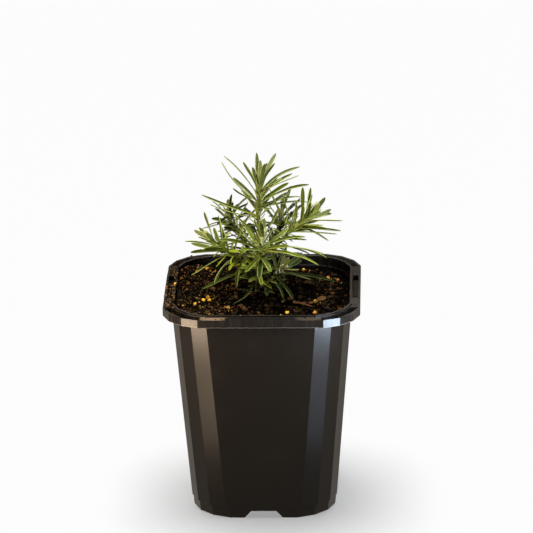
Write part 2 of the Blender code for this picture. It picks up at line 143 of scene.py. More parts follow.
bpy.ops.mesh.primitive_plane_add(size=FLOOR_SIDE, location=(0, 0, -0.05 * MM))
paper, _, _ = new_finish("pale paper", Base_Color=(*FLOOR_COLOUR, 1), Roughness=0.9)
floor = stage_piece("floor", paper, ("diffuse", "glossy", "shadow"))
bpy.ops.mesh.primitive_plane_add(size=FLOOR_SIDE, location=(0, 0, -1 * MM))
card = glowing("brown card", CARD_GLOW)
stage_piece("card_in_gloss", card, ("camera", "diffuse", "transmission", "volume_scatter", "shadow"))
bpy.ops.mesh.primitive_uv_sphere_add(segments=64, ring_count=32, radius=BACKDROP_RADIUS)
glow = glowing("pale backdrop", BACKDROP_GLOW)
stage_piece("backdrop", glow, ("diffuse", "glossy", "transmission", "volume_scatter", "shadow"))

room = bpy.data.worlds.new("room")
bpy.context.scene.world = room
room.use_nodes = True
room.node_tree.nodes["Background"].inputs["Color"].default_value = (1, 1, 1, 1)
room.node_tree.nodes["Background"].inputs["Strength"].default_value = ROOM_LIGHT
bpy.context.scene.view_settings.view_transform = "Standard"

for name, strength, casts in (("ceiling light", CEILING_LIGHT, True), ("table light", TABLE_LIGHT, False)):
    bpy.ops.object.light_add(type="SUN", location=(0, 0, 3), rotation=CEILING_TILT)
    lamp = bpy.context.object
    lamp.name = name
    lamp.data.energy = strength
    lamp.data.angle = CEILING_SPREAD
    lamp.data.use_shadow = casts
table_only = bpy.data.collections.new("the table alone")
table_only.objects.link(floor)
lamp.light_linking.receiver_collection = table_only
not_table = bpy.data.collections.new("all but the table")
not_table.objects.link(floor)
not_table.collection_objects[0].light_linking.link_state = "EXCLUDE"
pot_only = bpy.data.collections.new("the pot alone")
for name, place, aim, width, height, power, colour, lit in (
    ("left softbox", (-0.45, -0.4, 0.5), (0, 0, 0.14), 0.16, 0.16, 5.2, WARM, not_table),
    ("right softbox", (0.45, -0.4, 0.5), (0, 0, 0.14), 0.16, 0.16, 4.2, COOL, not_table),
    ("left strip", (-0.078, -0.088, 0.107), (0.005, -0.005, 0.107), 0.02, 0.088, 0.33, AMBER, pot_only),
    ("low left", (-0.078, -0.088, 0.032), (0.005, -0.005, 0.032), 0.02, 0.068, 0.05, AMBER, pot_only),
    ("right strip", (0.078, -0.088, 0.114), (-0.005, -0.005, 0.114), 0.02, 0.08, 0.58, BLUE, pot_only),
    ("low right", (0.078, -0.088, 0.032), (-0.005, -0.005, 0.032), 0.02, 0.068, 0.02, BLUE, pot_only),
):
    bpy.ops.object.light_add(type="AREA", location=place)
    lamp = bpy.context.object
    lamp.name = name
    lamp.rotation_euler = (Vector(aim) - Vector(place)).to_track_quat("-Z", "Y").to_euler()
    lamp.data.shape = "RECTANGLE"
    lamp.data.size = width
    lamp.data.size_y = height
    lamp.data.energy = power
    lamp.data.color = colour
    lamp.visible_camera = False
    lamp.light_linking.receiver_collection = lit

# The pot: one injection-moulded piece of black polypropylene, a square with faceted corners, thin walls
# and a folded rim. The solid has its form; the moulded piece has a small radius along every edge. It is
# scuffed and dusty above and soiled inside. A pale line along the rim's foot is painted highlight and wear,
# and a tan reflection is painted on its two front pads, stronger on the left one.
POT_EDGE_RADIUS = 0.15 * MM
POT_SHARPEST = math.radians(12)
BLACK_PLASTIC = (0.002, 0.0013, 0.0008)
DUSTY_PLASTIC = (0.018, 0.012, 0.007)
SETTLED_DUST = (0.26, 0.21, 0.16)
SCUFF = (0.0075, 0.0073, 0.0065)
# The pale line painted along the rim's foot: its highlight and wear.
FOOT_HIGHLIGHT_AND_WEAR = (0.056, 0.055, 0.048)
# The tan colour of the reflection painted on the front pads.
PAINTED_PAD_REFLECTION = (0.26, 0.19, 0.12)
CLEAN_SHINE = 0.16
SOILED_SHINE = 0.03
TOP_DUST = 0.105
GUTTER_DUST = 0.2
DUST_FROM = (-46.5 * MM, -42 * MM)
RIM_SCUFFED = (108.9 * MM, 109.4 * MM)
# Where the pale line along the rim's foot is painted, and half its height.
RIM_FOOT = 109.02 * MM
FOOT_LINE_HALF = 0.16 * MM
# The reflection painted on the front pads: its spot and spread, which faces get it, and its share left and
# right.
PAD_REFLECTION_CENTRE = (24 * MM, -47 * MM, 0)
PAD_REFLECTION_SHAPE = (1 / (6.6 * MM), 1 / (3.4 * MM), 0)
PAD_LEVEL = 112.9 * MM
PAD_BEFORE = -45 * MM
PAD_ENDS = (17 * MM, 32 * MM)
PAD_REFLECTION_SHARES = (0.48, 0.12)
DUSTY_GUTTER = (20 * MM, 111 * MM)
INNER_WALL = (30 * MM, 100 * MM)


def ramp(tree, value, low, high, top=1.0, bottom=0.0):
    """How far a value is from low to high, as a number from bottom to top that is held at both ends."""
    inputs = {"Value": value, "From Min": low, "From Max": high, "To Min": bottom, "To Max": top}
    return add_node(tree, "MapRange", inputs).outputs[0]


def result(tree, operation, *inputs):
    """What a sum on these numbers or sockets gives."""
    return add_node(tree, "Math", dict(enumerate(inputs)), operation=operation).outputs[0]


def both(tree, first, second):
    """The product of two numbers or masks."""
    return result(tree, "MULTIPLY", first, second)


def noise_on(tree, place, scale, detail, roughness=0.5):
    """Cloudy noise from 0 to 1 at this scale."""
    inputs = {"Vector": place, "Scale": scale, "Detail": detail, "Roughness": roughness}
    return add_node(tree, "TexNoise", inputs).outputs[0]


def layered(tree, colour, *layers):
    """A colour with (factor, colour) layers laid over it, one after another."""
    for factor, over in layers:
        colour = blend(tree, factor, colour, over)
    return colour


def stored(tree, name, socket="Fac"):
    """What the piece's attribute of this name says."""
    return add_node(tree, "Attribute", {}, attribute_name=name).outputs[socket]


def raise_surface(tree, shader, height, strength, depth):
    """Lets the surface stand up by a socket's height."""
    bump = add_node(tree, "Bump", {"Height": height, "Strength": strength, "Distance": depth})
    tree.links.new(bump.outputs[0], shader.inputs["Normal"])


def own_place(tree):
    """Where the surface lies, in its object's own coordinates."""
    return add_node(tree, "TexCoord", {}).outputs["Object"]


def moulded_plastic():
    """Satin black polypropylene: fine flow marks, dust and scuffs, a pale line painted along the rim's
    foot as its highlight and wear, and a tan reflection painted on the front pads.
    """
    made, tree, shader = new_finish("moulded plastic")
    place = own_place(tree)
    x, y, z = add_node(tree, "SeparateXYZ", {0: place}).outputs
    streaks = add_node(tree, "Mapping", {"Vector": place, "Scale": (900, 900, 60)}).outputs[0]
    flow = noise_on(tree, streaks, 1.0, 3.0)
    dust = noise_on(tree, place, 900.0, 4.0, 0.7)
    cloud = noise_on(tree, place, 45.0, 5.0, 0.6)
    spread = ramp(tree, both(tree, dust, cloud), 0.3, 0.5, 0.15)
    facing = add_node(tree, "NewGeometry", {}).outputs["Normal"]
    upwards = add_node(tree, "SeparateXYZ", {0: facing}).outputs["Z"]
    settled = both(tree, ramp(tree, upwards, 0.6, 0.95, TOP_DUST), ramp(tree, y, *DUST_FROM))
    scuffed = both(tree, ramp(tree, z, *RIM_SCUFFED), ramp(tree, flow, 0.5, 0.72))
    # A pale line painted along the rim's foot, patchy with the dust: its highlight and wear.
    foot_highlight_and_wear = both(tree, result(tree, "COMPARE", z, RIM_FOOT, FOOT_LINE_HALF), ramp(tree, dust, 0.3, 0.6))
    spot = add_node(tree, "CombineXYZ", {0: result(tree, "ABSOLUTE", x), 1: y}).outputs[0]
    for operation, value in (("SUBTRACT", PAD_REFLECTION_CENTRE), ("MULTIPLY", PAD_REFLECTION_SHAPE)):
        spot = add_node(tree, "VectorMath", {0: spot, 1: value}, operation=operation).outputs[0]
    away = add_node(tree, "VectorMath", {0: spot}, operation="LENGTH").outputs["Value"]
    # A tan reflection painted on the front pads, spread from a spot on each side.
    painted_pad_reflection = both(tree, stored(tree, "pad_reflection"), ramp(tree, result(tree, "ADD", away, dust), 1.75, 1.3))
    tint = layered(
        tree,
        BLACK_PLASTIC,
        (spread, DUSTY_PLASTIC),
        (settled, SETTLED_DUST),
        (stored(tree, "silt"), SETTLED_DUST),
        (scuffed, SCUFF),
        (foot_highlight_and_wear, FOOT_HIGHLIGHT_AND_WEAR),
        (painted_pad_reflection, PAINTED_PAD_REFLECTION),
    )
    shine = ramp(tree, stored(tree, "soiled"), 0.0, 1.0, SOILED_SHINE, CLEAN_SHINE)
    tree.links.new(tint, shader.inputs["Base Color"])
    tree.links.new(shine, shader.inputs["Specular IOR Level"])
    tree.links.new(ramp(tree, cloud, 0.3, 0.7, 0.36, 0.28), shader.inputs["Roughness"])
    raise_surface(tree, shader, flow, 0.12, 0.05 * MM)
    return made


def put_in_scene(name, data):
    """A new object of this data, in the scene and selected alone."""
    made = bpy.data.objects.new(name, data)
    bpy.context.scene.collection.objects.link(made)
    bpy.ops.object.select_all(action="DESELECT")
    bpy.context.view_layer.objects.active = made
    made.select_set(True)
    return made


pot = put_in_scene("nursery_pot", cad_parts["pot"].data.copy())
bpy.ops.mesh.customdata_custom_splitnormals_clear()
bpy.ops.object.mode_set(mode="EDIT")
bpy.ops.mesh.select_all(action="SELECT")
bpy.ops.mesh.remove_doubles(threshold=0.005 * MM)
bpy.ops.object.mode_set(mode="OBJECT")
bevel = pot.modifiers.new("edge radius", "BEVEL")
bevel.width = POT_EDGE_RADIUS
bevel.segments = 2
bevel.limit_method = "ANGLE"
bevel.angle_limit = POT_SHARPEST
bevel.harden_normals = True
bpy.ops.object.modifier_apply(modifier=bevel.name)
pot.data.materials.clear()
pot.data.materials.append(moulded_plastic())
pad_reflection, silt, soiled = [pot.data.attributes.new(mask, "FLOAT", "FACE") for mask in ("pad_reflection", "silt", "soiled")]
for i, face in enumerate(pot.data.polygons):
    x, y, z = face.center
    # The front pads' painted reflection, stronger on the left pad.
    if face.normal.z > 0.9 and z > PAD_LEVEL and y < PAD_BEFORE and PAD_ENDS[0] < abs(x) < PAD_ENDS[1]:
        pad_reflection.data[i].value = PAD_REFLECTION_SHARES[0] if x < 0 else PAD_REFLECTION_SHARES[1]
    faces_in = face.normal.x * x + face.normal.y * y < 0
    if faces_in and y > DUSTY_GUTTER[0] and z > DUSTY_GUTTER[1]:
        silt.data[i].value = GUTTER_DUST
    if faces_in and INNER_WALL[0] < z < INNER_WALL[1]:
        soiled.data[i].value = 1.0
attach(pot, "root")
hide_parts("pot")
pot_only.objects.link(pot)

# The potting mix: composted bark, coir and sand that settled in the pot under its own weight. Its bed is
# one body cut to the pot's walls, lumpy on top, heaped in the middle and highest at the back left.
BED_SIDE = 92 * MM
BED_CELLS = 176
SOIL_EDGE = 107.8 * MM
SOIL_HEAP = 0.9 * MM
HEAP_REACH = 44 * MM
HIGH_CORNER = 60 * MM
SOIL_TILT = 0.05
SOIL_RIPPLE = 0.35 * MM
LUMP_HEIGHT = 1.1 * MM
LUMP_SIZE = 4.2 * MM
GRAIN_HEIGHT = 0.7 * MM
GRAIN_SIZE = 1.7 * MM
PEAT = (0.0012, 0.0008, 0.0004)
PEAT_LIGHT = (0.009, 0.006, 0.003)
SHADE_CENTRE = (4 * MM, -6 * MM)
SHADE_REACH = (14 * MM, 36 * MM)
LEAST_WALL = 60 * MM * MM
PATCH_SIZE = 8 * MM
BANK_HEIGHT = 3.0 * MM
BANK_STARTS = -35 * MM
BANK_TOP = -43 * MM
BANK_HALF = 38 * MM
BANK_FADE = 14 * MM


def bed_height(x, y):
    """The top of the bed: the solid's low heap and ripples, with lumps, grains and a bank at the left lip."""
    reach = min(1.0, math.hypot(x, y) / HEAP_REACH)
    corner = max(0.0, (y - x) / HIGH_CORNER) ** 2
    ripple = math.sin(x / (3.1 * MM) + 1.3) * math.cos(y / (2.7 * MM)) + 0.6 * math.sin((x + y) / (1.9 * MM))
    heap = SOIL_EDGE + SOIL_HEAP * (1 - reach**2) - SOIL_TILT * x + corner * MM + SOIL_RIPPLE * ripple
    lumps = noise.fractal(Vector((x, y, 0)) / LUMP_SIZE, 0.8, 2.1, 3)
    grains = noise.voronoi(Vector((x, y, 0)) / GRAIN_SIZE)[0]
    side = min(1.0, max(0.0, (BANK_STARTS - x) / (BANK_STARTS - BANK_TOP)))
    along = min(1.0, max(0.0, (BANK_HALF - abs(y)) / BANK_FADE))
    bank = BANK_HEIGHT * along * side * side * (3 - 2 * side)
    return heap + bank + LUMP_HEIGHT * lumps + GRAIN_HEIGHT * (0.6 - grains[0])


def mix_finish(name, dark, light, roughness):
    """Damp bark: dark and light fibres, coloured over by the piece's tint attribute where it has one. On the
    bed and its crumbs that tint also holds painted shade.
    """
    made, tree, shader = new_finish(name, Roughness=roughness, Specular_IOR_Level=0.02)
    place = own_place(tree)
    fine = noise_on(tree, place, 1400.0, 6.0, 0.7)
    share = ramp(tree, both(tree, fine, noise_on(tree, place, 260.0, 3.0)), 0.15, 0.42)
    parts = {0: 1.0, 6: blend(tree, share, dark, light), 7: stored(tree, "tint", "Color")}
    coloured = add_node(tree, "Mix", parts, data_type="RGBA", blend_type="MULTIPLY")
    tree.links.new(coloured.outputs[2], shader.inputs["Base Color"])
    raise_surface(tree, shader, fine, 0.7, 0.25 * MM)
    return made


def painted_shade_and_patches(x, y):
    """How light the mix is at a place: patchy, with shade painted under the plant and darker towards
    the right.
    """
    shade = float(np.interp(math.dist((x, y), SHADE_CENTRE), SHADE_REACH, (0.16, 1.0)))
    shade *= float(np.interp(x, (-15 * MM, 15 * MM), (0.9, 0.55)))
    patch = 0.5 + 0.5 * noise.fractal(Vector((x, y, 0)) / PATCH_SIZE, 0.9, 2.0, 3)
    return shade * float(np.interp(patch, (0.25, 0.75), (0.3, 1.35)))


def paint(mesh, name, colours):
    """Stores one colour for each vertex in an attribute of this name."""
    mesh.attributes.new(name, "FLOAT_COLOR", "POINT")
    mesh.attributes[name].data.foreach_set("color", np.asarray(colours, dtype=np.float32).ravel())


def wall_planes(solid):
    """The planes of a solid's upright faces, each as a point and a direction, without repeats."""
    found = {}
    for face in solid.data.polygons:
        if abs(face.normal.z) < 0.2 and face.area > LEAST_WALL:
            facing = tuple(round(part, 1) for part in face.normal)
            found.setdefault(facing, (face.center.copy(), face.normal.copy()))
    return list(found.values())


walls = wall_planes(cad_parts["potting_mix"])
bpy.ops.mesh.primitive_grid_add(x_subdivisions=BED_CELLS, y_subdivisions=BED_CELLS, size=BED_SIDE)
bed = bpy.context.object
bed.name = "potting_mix_bed"
for vert in bed.data.vertices:
    vert.co.z = bed_height(vert.co.x, vert.co.y)
bpy.ops.object.mode_set(mode="EDIT")
for point, outward in walls:
    bpy.ops.mesh.select_all(action="SELECT")
    bpy.ops.mesh.bisect(plane_co=point, plane_no=outward, clear_outer=True)
bpy.ops.mesh.select_all(action="SELECT")
bpy.ops.mesh.region_to_loop()
bpy.ops.mesh.extrude_region_move(TRANSFORM_OT_translate={"value": (0, 0, -1 * MM)})
bpy.ops.object.mode_set(mode="OBJECT")
mix_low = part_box("potting_mix")[0]
for vert in bed.data.vertices:
    if vert.select:
        side = Vector((vert.co.x, vert.co.y, 0))
        down = Vector((0, 0, mix_low.z))
        faced = [(point, outward) for point, outward in walls if side.dot(outward) > 0]
        rooms = [(point - down).dot(outward) / side.dot(outward) for point, outward in faced]
        vert.co = side * min(rooms) + down
bpy.ops.object.mode_set(mode="EDIT")
bpy.ops.mesh.edge_face_add()
bpy.ops.object.mode_set(mode="OBJECT")
bpy.ops.object.shade_smooth()
# The bed's tint: shade painted under the plant and to the right, over random patches.
shades = [painted_shade_and_patches(vert.co.x, vert.co.y) for vert in bed.data.vertices]
paint(bed.data, "tint", [(shade, shade, shade, 1) for shade in shades])
bed.data.materials.append(mix_finish("damp bark mix", PEAT, PEAT_LIGHT, 0.85))
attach(bed, "root")
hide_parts("potting_mix")

# Crumbs: grains of bark, peat and coarse sand that lie loose on the bed, mostly dark, some tan and orange.
# They are modelled as six odd-shaped grains that are copied, turned and sized at random.
CRUMBS = 8600
CRUMB_SIZES = (0.2 * MM, 0.95 * MM)
CRUMB_WOOD = ((0.025, 0.018, 0.011), (0.09, 0.066, 0.036))
CRUMB_SHAPES = ((0.9, 0.8), (0.55, 0.45), (0.95, 0.38), (0.42, 0.3), (0.8, 0.6), (0.65, 0.3))
CRUMB_TINTS = (
    (0.52, (0.03, 0.022, 0.015)),
    (0.22, (0.5, 0.38, 0.26)),
    (0.14, (2.2, 1.68, 1.0)),
    (0.09, (4.9, 3.8, 2.3)),
    (0.03, (8.5, 4.8, 1.4)),
)


def gathered(name, copies):
    """One object made of copies. A copy is its blank's mesh, its vertices' places and its tint."""
    places, faces, tints = [], [], []
    for blank, points, tint in copies:
        first = len(places)
        places.extend(points)
        faces.extend([tuple(first + corner for corner in face.vertices) for face in blank.polygons])
        tints.extend([(*tint, 1.0)] * len(points))
    mesh = bpy.data.meshes.new(name)
    mesh.from_pydata(places, [], faces)
    paint(mesh, "tint", tints)
    return put_in_scene(name, mesh)


def without_object(made):
    """The object's mesh alone, to be copied."""
    mesh = made.data
    bpy.data.objects.remove(made)
    return mesh


def grain_blank(seed, fineness, roughness, breadth, flatness):
    """An odd-shaped grain of unit radius, this broad and thick beside its length."""
    bpy.ops.mesh.primitive_ico_sphere_add(subdivisions=fineness, radius=1)
    grain = bpy.context.object
    bpy.ops.object.mode_set(mode="EDIT")
    bpy.ops.transform.vertex_random(offset=roughness, seed=seed)
    bpy.ops.transform.resize(value=(1, breadth, flatness))
    bpy.ops.object.mode_set(mode="OBJECT")
    return without_object(grain)


def placed(blank, place, size, turn):
    """The blank's vertices turned, sized and set at a place."""
    return [place + turn @ (vert.co * size) for vert in blank.vertices]


def random_turn(draw):
    """A turn to any side."""
    tilt = Matrix.Rotation(draw.uniform(0, math.pi), 3, "X")
    return Matrix.Rotation(draw.uniform(0, 2 * math.pi), 3, "Z") @ tilt


def random_spot(draw, reach):
    """A place on the mix, at most this many millimetres from its middle both ways."""
    return draw.uniform(-reach, reach) * MM, draw.uniform(-reach, reach) * MM


def mostly_small(draw, sizes):
    """A size between these two, more often a small one."""
    return sizes[0] + (sizes[1] - sizes[0]) * draw.random() ** 2


def clear_of_walls(x, y, margin):
    """Whether a place on the mix is at least this far inside the pot's walls."""
    spot = Vector((x, y, SOIL_EDGE))
    return all((spot - point).dot(outward) < -margin for point, outward in walls)


def drawn_tint(draw, tints, strength=1.0):
    """A colour out of (share, colour) rows, a little lighter or darker each time, by this strength."""
    left = draw.random()
    for share, colour in tints:
        left -= share
        if left <= 0:
            break
    light = strength * draw.uniform(0.6, 1.4)
    return tuple(part * light for part in colour)


def scattered(name, count, blanks, sizes, tints, draw, sink):
    """Loose pieces at random places on the bed, each sunk in it by a share of its size."""
    copies = []
    while len(copies) < count:
        x, y = random_spot(draw, 44)
        size = mostly_small(draw, sizes)
        if not clear_of_walls(x, y, size):
            continue
        place = Vector((x, y, bed_height(x, y) + size * sink))
        blank = draw.choice(blanks)
        # Painted shade under the plant and to the right, and larger pieces darker.
        light = painted_shade_and_patches(x, y) * float(np.interp(size, sizes, (1.3, 0.45)))
        tint = drawn_tint(draw, tints, light)
        copies.append((blank, placed(blank, place, size, random_turn(draw)), tint))
    return gathered(name, copies)


grains = [grain_blank(seed, 1, 0.4, *shape) for seed, shape in enumerate(CRUMB_SHAPES)]
crumbs = scattered("bark_crumbs", CRUMBS, grains, CRUMB_SIZES, CRUMB_TINTS, random.Random(3), 0.2)
crumbs.data.materials.append(mix_finish("bark crumbs", *CRUMB_WOOD, 0.8))
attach(crumbs, "root")

# Spilled crumbs: grains of the mix that fell over the left lip on to the rim and into its pockets, where
# they have dried and are paler. Each is dropped on the pot from above.
SPILLED = (
    (560, (-49.4, -43.6), (-36, 30)),
    (40, (-49.4, 49.4), (-49.4, -44.5)),
    (24, (43.6, 49.4), (-30, 34)),
    (40, (-49.4, 49.4), (44.5, 49.4)),
)
SPILL_SIZES = (0.2 * MM, 0.62 * MM)
DROP_FROM = 120 * MM
KEPT_ABOVE = 104 * MM
DRIED = 1.8

draw = random.Random(17)
copies = []
for count, x_range, y_range in SPILLED:
    for i in range(count):
        x, y = draw.uniform(*x_range) * MM, draw.uniform(*y_range) * MM
        size = mostly_small(draw, SPILL_SIZES)
        hit, place, _, _ = pot.ray_cast(Vector((x, y, DROP_FROM)), Vector((0, 0, -1)))
        if hit and place.z > KEPT_ABOVE:
            blank = draw.choice(grains)
            place.z += 0.45 * size
            tint = drawn_tint(draw, CRUMB_TINTS, DRIED)
            copies.append((blank, placed(blank, place, size, random_turn(draw)), tint))
spilled = gathered("spilled_crumbs", copies)
spilled.data.materials.append(crumbs.data.materials[0])
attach(spilled, "root")

# Bark chips: flat splinters of pine bark, half sunk in the mix. The larger ones lie where the solid has
# them; smaller ones fill the gaps.
CHIPS = 34
SMALL_CHIPS = 190
SMALL_CHIP_SIZES = (0.9 * MM, 2.2 * MM)
CHIP_WOOD = ((0.014, 0.0095, 0.007), (0.05, 0.036, 0.026))
CHIP_TINTS = (
    (0.62, (0.45, 0.38, 0.27)),
    (0.24, (1.2, 0.95, 0.6)),
    (0.14, (2.9, 2.1, 1.1)),
)
PRILLS = (
    (-30, -14), (-28, -10), (-27, -14), (-40, -25), (-34, -20), (-30, 31), (-35, 26),
    (-17, -24), (27, -9), (33, 27), (38, 25), (27, -26), (20, 38), (13, -28),
)
LARGE_CHIPS = ((30, -3), (39, 2))
TWIG_FROM = (16, -13)
TWIG_TO = (26, -20)
STEM_FOOT = (-3, 4)


def chip_blank(seed, sides):
    """A broken flake: a flat prism with split, uneven edges."""
    bpy.ops.mesh.primitive_cylinder_add(vertices=sides, radius=1, depth=0.5)
    chip = bpy.context.object
    bpy.ops.object.mode_set(mode="EDIT")
    bpy.ops.mesh.bevel(offset=0.12, segments=1)
    bpy.ops.transform.vertex_random(offset=0.14, seed=seed)
    bpy.ops.transform.resize(value=(1, 0.62, 1))
    bpy.ops.object.mode_set(mode="OBJECT")
    return without_object(chip)


def random_lie(draw):
    """A chip's breadth beside its length, its tilt in degrees and its turn as a share of a full one."""
    return draw.uniform(0.45, 0.75), draw.uniform(-14, 14), draw.random()


def solid_chips():
    """Place, size and lie of the solid's chips, drawn by the same rule as there."""
    draw = random.Random(7)
    taken = [(x * MM, y * MM, 2.6 * MM) for x, y in PRILLS]
    taken.append((STEM_FOOT[0] * MM, STEM_FOOT[1] * MM, 4 * MM))
    middle = [(a + b) / 2 * MM for a, b in zip(TWIG_FROM, TWIG_TO)]
    taken.append((*middle, 7 * MM))
    found = []
    for x, y in LARGE_CHIPS:
        taken.append((x * MM, y * MM, 3 * MM))
        found.append((x * MM, y * MM, 3.6 * MM, *random_lie(draw)))
    while len(found) < CHIPS:
        x, y = random_spot(draw, 38)
        size = draw.uniform(1.4, 2.8) * MM
        if abs(x) + abs(y) > 58 * MM or any(math.hypot(x - a, y - b) < size + away for a, b, away in taken):
            continue
        taken.append((x, y, size * 0.8))
        found.append((x, y, size, *random_lie(draw)))
    return found


flakes = [chip_blank(seed, 5 + seed % 3) for seed in range(6)]
draw = random.Random(11)
copies = []
for x, y, size, narrow, tilt, turn in solid_chips():
    flake = draw.choice(flakes)
    lie = Matrix.Rotation(turn * 2 * math.pi, 3, "Z") @ Matrix.Rotation(math.radians(tilt), 3, "X")
    lie = lie @ Matrix.Diagonal((1, narrow / 0.6, min(1.0, 1.6 * MM / size)))
    place = Vector((x, y, bed_height(x, y) + 0.3 * MM))
    copies.append((flake, placed(flake, place, size, lie), drawn_tint(draw, CHIP_TINTS)))
while len(copies) < CHIPS + SMALL_CHIPS:
    x, y = random_spot(draw, 43)
    size = draw.uniform(*SMALL_CHIP_SIZES)
    if clear_of_walls(x, y, size):
        flake = draw.choice(flakes)
        lie = Matrix.Rotation(draw.uniform(0, 2 * math.pi), 3, "Z")
        lie = lie @ Matrix.Rotation(math.radians(draw.gauss(0, 22)), 3, "X")
        place = Vector((x, y, bed_height(x, y) + 0.25 * size))
        copies.append((flake, placed(flake, place, size, lie), drawn_tint(draw, CHIP_TINTS)))
chips = gathered("bark_chips", copies)
chips.data.materials.append(mix_finish("bark chip", *CHIP_WOOD, 0.75))
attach(chips, "root")

# Coir: thin curled coconut fibres that run through the mix and arch out of it here and there. They are
# modelled as one straight strand that is copied and laid along a curve of its own each time.
FIBRES = 90
FIBRE_LENGTHS = (2.5 * MM, 8 * MM)
FIBRE_RADII = (0.05 * MM, 0.1 * MM)
FIBRE_CUTS = 10
COIR = ((0.045, 0.026, 0.012), (0.15, 0.095, 0.045))


def cut_across(shares):
    """The new upright object of unit length, cut across at these shares of it."""
    bpy.ops.object.transform_apply(location=True)
    bpy.ops.object.mode_set(mode="EDIT")
    for share in shares:
        bpy.ops.mesh.select_all(action="SELECT")
        bpy.ops.mesh.bisect(plane_co=(0, 0, share), plane_no=(0, 0, 1))
    bpy.ops.object.mode_set(mode="OBJECT")
    return bpy.context.object


def strand_blank():
    """A straight four-sided strand of unit radius and length on Z, cut across in ten places."""
    bpy.ops.mesh.primitive_cylinder_add(vertices=4, radius=1, depth=1, location=(0, 0, 0.5))
    return without_object(cut_across([cut / (FIBRE_CUTS + 1) for cut in range(1, FIBRE_CUTS + 1)]))


def fibre_points(blank, x, y, length, radius, bearing, curl, lift):
    """The strand laid along a flat arc on the bed, its middle lifted, both ends in the mix."""
    along = Vector((math.cos(bearing), math.sin(bearing), 0))
    side = Vector((-along.y, along.x, 0))
    points = []
    for vert in blank.vertices:
        share = vert.co.z
        point = Vector((x, y, 0)) + along * length * (share - 0.5) + side * curl * math.sin(math.pi * share)
        point.z = bed_height(point.x, point.y) + lift * math.sin(math.pi * share) - 0.1 * MM
        thin = radius * (1 - 0.6 * abs(2 * share - 1))
        points.append(point + side * vert.co.x * thin + Vector((0, 0, vert.co.y * thin)))
    return points


strand = strand_blank()
draw = random.Random(23)
copies = []
while len(copies) < FIBRES:
    x, y = random_spot(draw, 42)
    length = draw.uniform(*FIBRE_LENGTHS)
    if clear_of_walls(x, y, length / 2 + 1 * MM):
        curl, lift = length * draw.uniform(-0.3, 0.3), draw.uniform(0.2, 0.9) * MM
        laid = fibre_points(strand, x, y, length, draw.uniform(*FIBRE_RADII), draw.uniform(0, 7), curl, lift)
        light = draw.uniform(0.5, 1.5)
        copies.append((strand, laid, (light, light, light)))
fibres = gathered("coir_fibres", copies)
fibres.data.materials.append(mix_finish("coir", *COIR, 0.7))
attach(fibres, "root")

# Fertiliser prills: resin-coated balls, amber to yellow, loose on the mix where the solid has them, with
# the broken shells of older ones round about.
SHELLS_EACH = 5
SHELL_SIZES = (0.22 * MM, 0.55 * MM)
SHELL_TINTS = ((0.55, (0.8, 0.55, 0.02)), (0.45, (0.7, 0.3, 0.03)))
PRILL_TINTS = ((0.55, (0.62, 0.25, 0.03)), (0.3, (0.66, 0.43, 0.02)), (0.15, (0.42, 0.13, 0.02)))
PRILL_PALE = (0.66, 0.36, 0.04)
PRILL_SOILED = (0.035, 0.018, 0.006)
CORE_GLOW = (1.2 * MM, 0.6 * MM, 0.2 * MM)


def prill_finish():
    """An amber shell over a paler core, cloudy and soiled with mix."""
    glow = {"Subsurface_Weight": 0.2, "Subsurface_Radius": CORE_GLOW, "Subsurface_Scale": 1.0}
    made, tree, shader = new_finish("prill coating", Roughness=0.4, Specular_IOR_Level=0.2, **glow)
    place = own_place(tree)
    amber = blend(tree, noise_on(tree, place, 900.0, 4.0), stored(tree, "tint", "Color"), PRILL_PALE)
    soiled = ramp(tree, noise_on(tree, place, 1500.0, 3.0), 0.53, 0.6)
    tree.links.new(blend(tree, soiled, amber, PRILL_SOILED), shader.inputs["Base Color"])
    return made


coating = prill_finish()
draw = random.Random(5)
balls = [grain_blank(seed, 3, 0.15, 0.92, 0.84) for seed in range(4)]
for number in range(1, len(PRILLS) + 1):
    node = f"fertiliser_prill_{number}"
    low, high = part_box(node)
    ball = draw.choice(balls)
    radius = (high.x - low.x) / 2 * draw.uniform(0.86, 1.0)
    points = placed(ball, (low + high) / 2, radius, random_turn(draw))
    prill = gathered(f"prill_{number}", [(ball, points, drawn_tint(draw, PRILL_TINTS))])
    prill.data.shade_smooth()
    prill.data.materials.append(coating)
    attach(prill, "root")
    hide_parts(node)

draw = random.Random(29)
copies = []
for x, y in PRILLS:
    for _ in range(SHELLS_EACH):
        bearing, away = draw.uniform(0, 7), draw.uniform(1.7, 4.5) * MM
        spot = Vector((x * MM + away * math.cos(bearing), y * MM + away * math.sin(bearing), 0))
        size = draw.uniform(*SHELL_SIZES)
        if clear_of_walls(spot.x, spot.y, size):
            spot.z = bed_height(spot.x, spot.y) + 0.45 * size
            grain = draw.choice(grains)
            points = placed(grain, spot, size, random_turn(draw))
            copies.append((grain, points, drawn_tint(draw, SHELL_TINTS)))
shells = gathered("prill_shells", copies)
shells.data.materials.append(coating)
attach(shells, "root")

# Twig: a thin reddish splinter of bark that lies across the mix, thick at one end and bent in its middle.
TWIG_RADII = (0.62 * MM, 0.5 * MM, 0.24 * MM)
TWIG_RISE = 0.4 * MM
TWIG_ROUGHNESS = 0.12 * MM
REDDISH_BARK = ((0.055, 0.022, 0.013), (0.17, 0.08, 0.043))


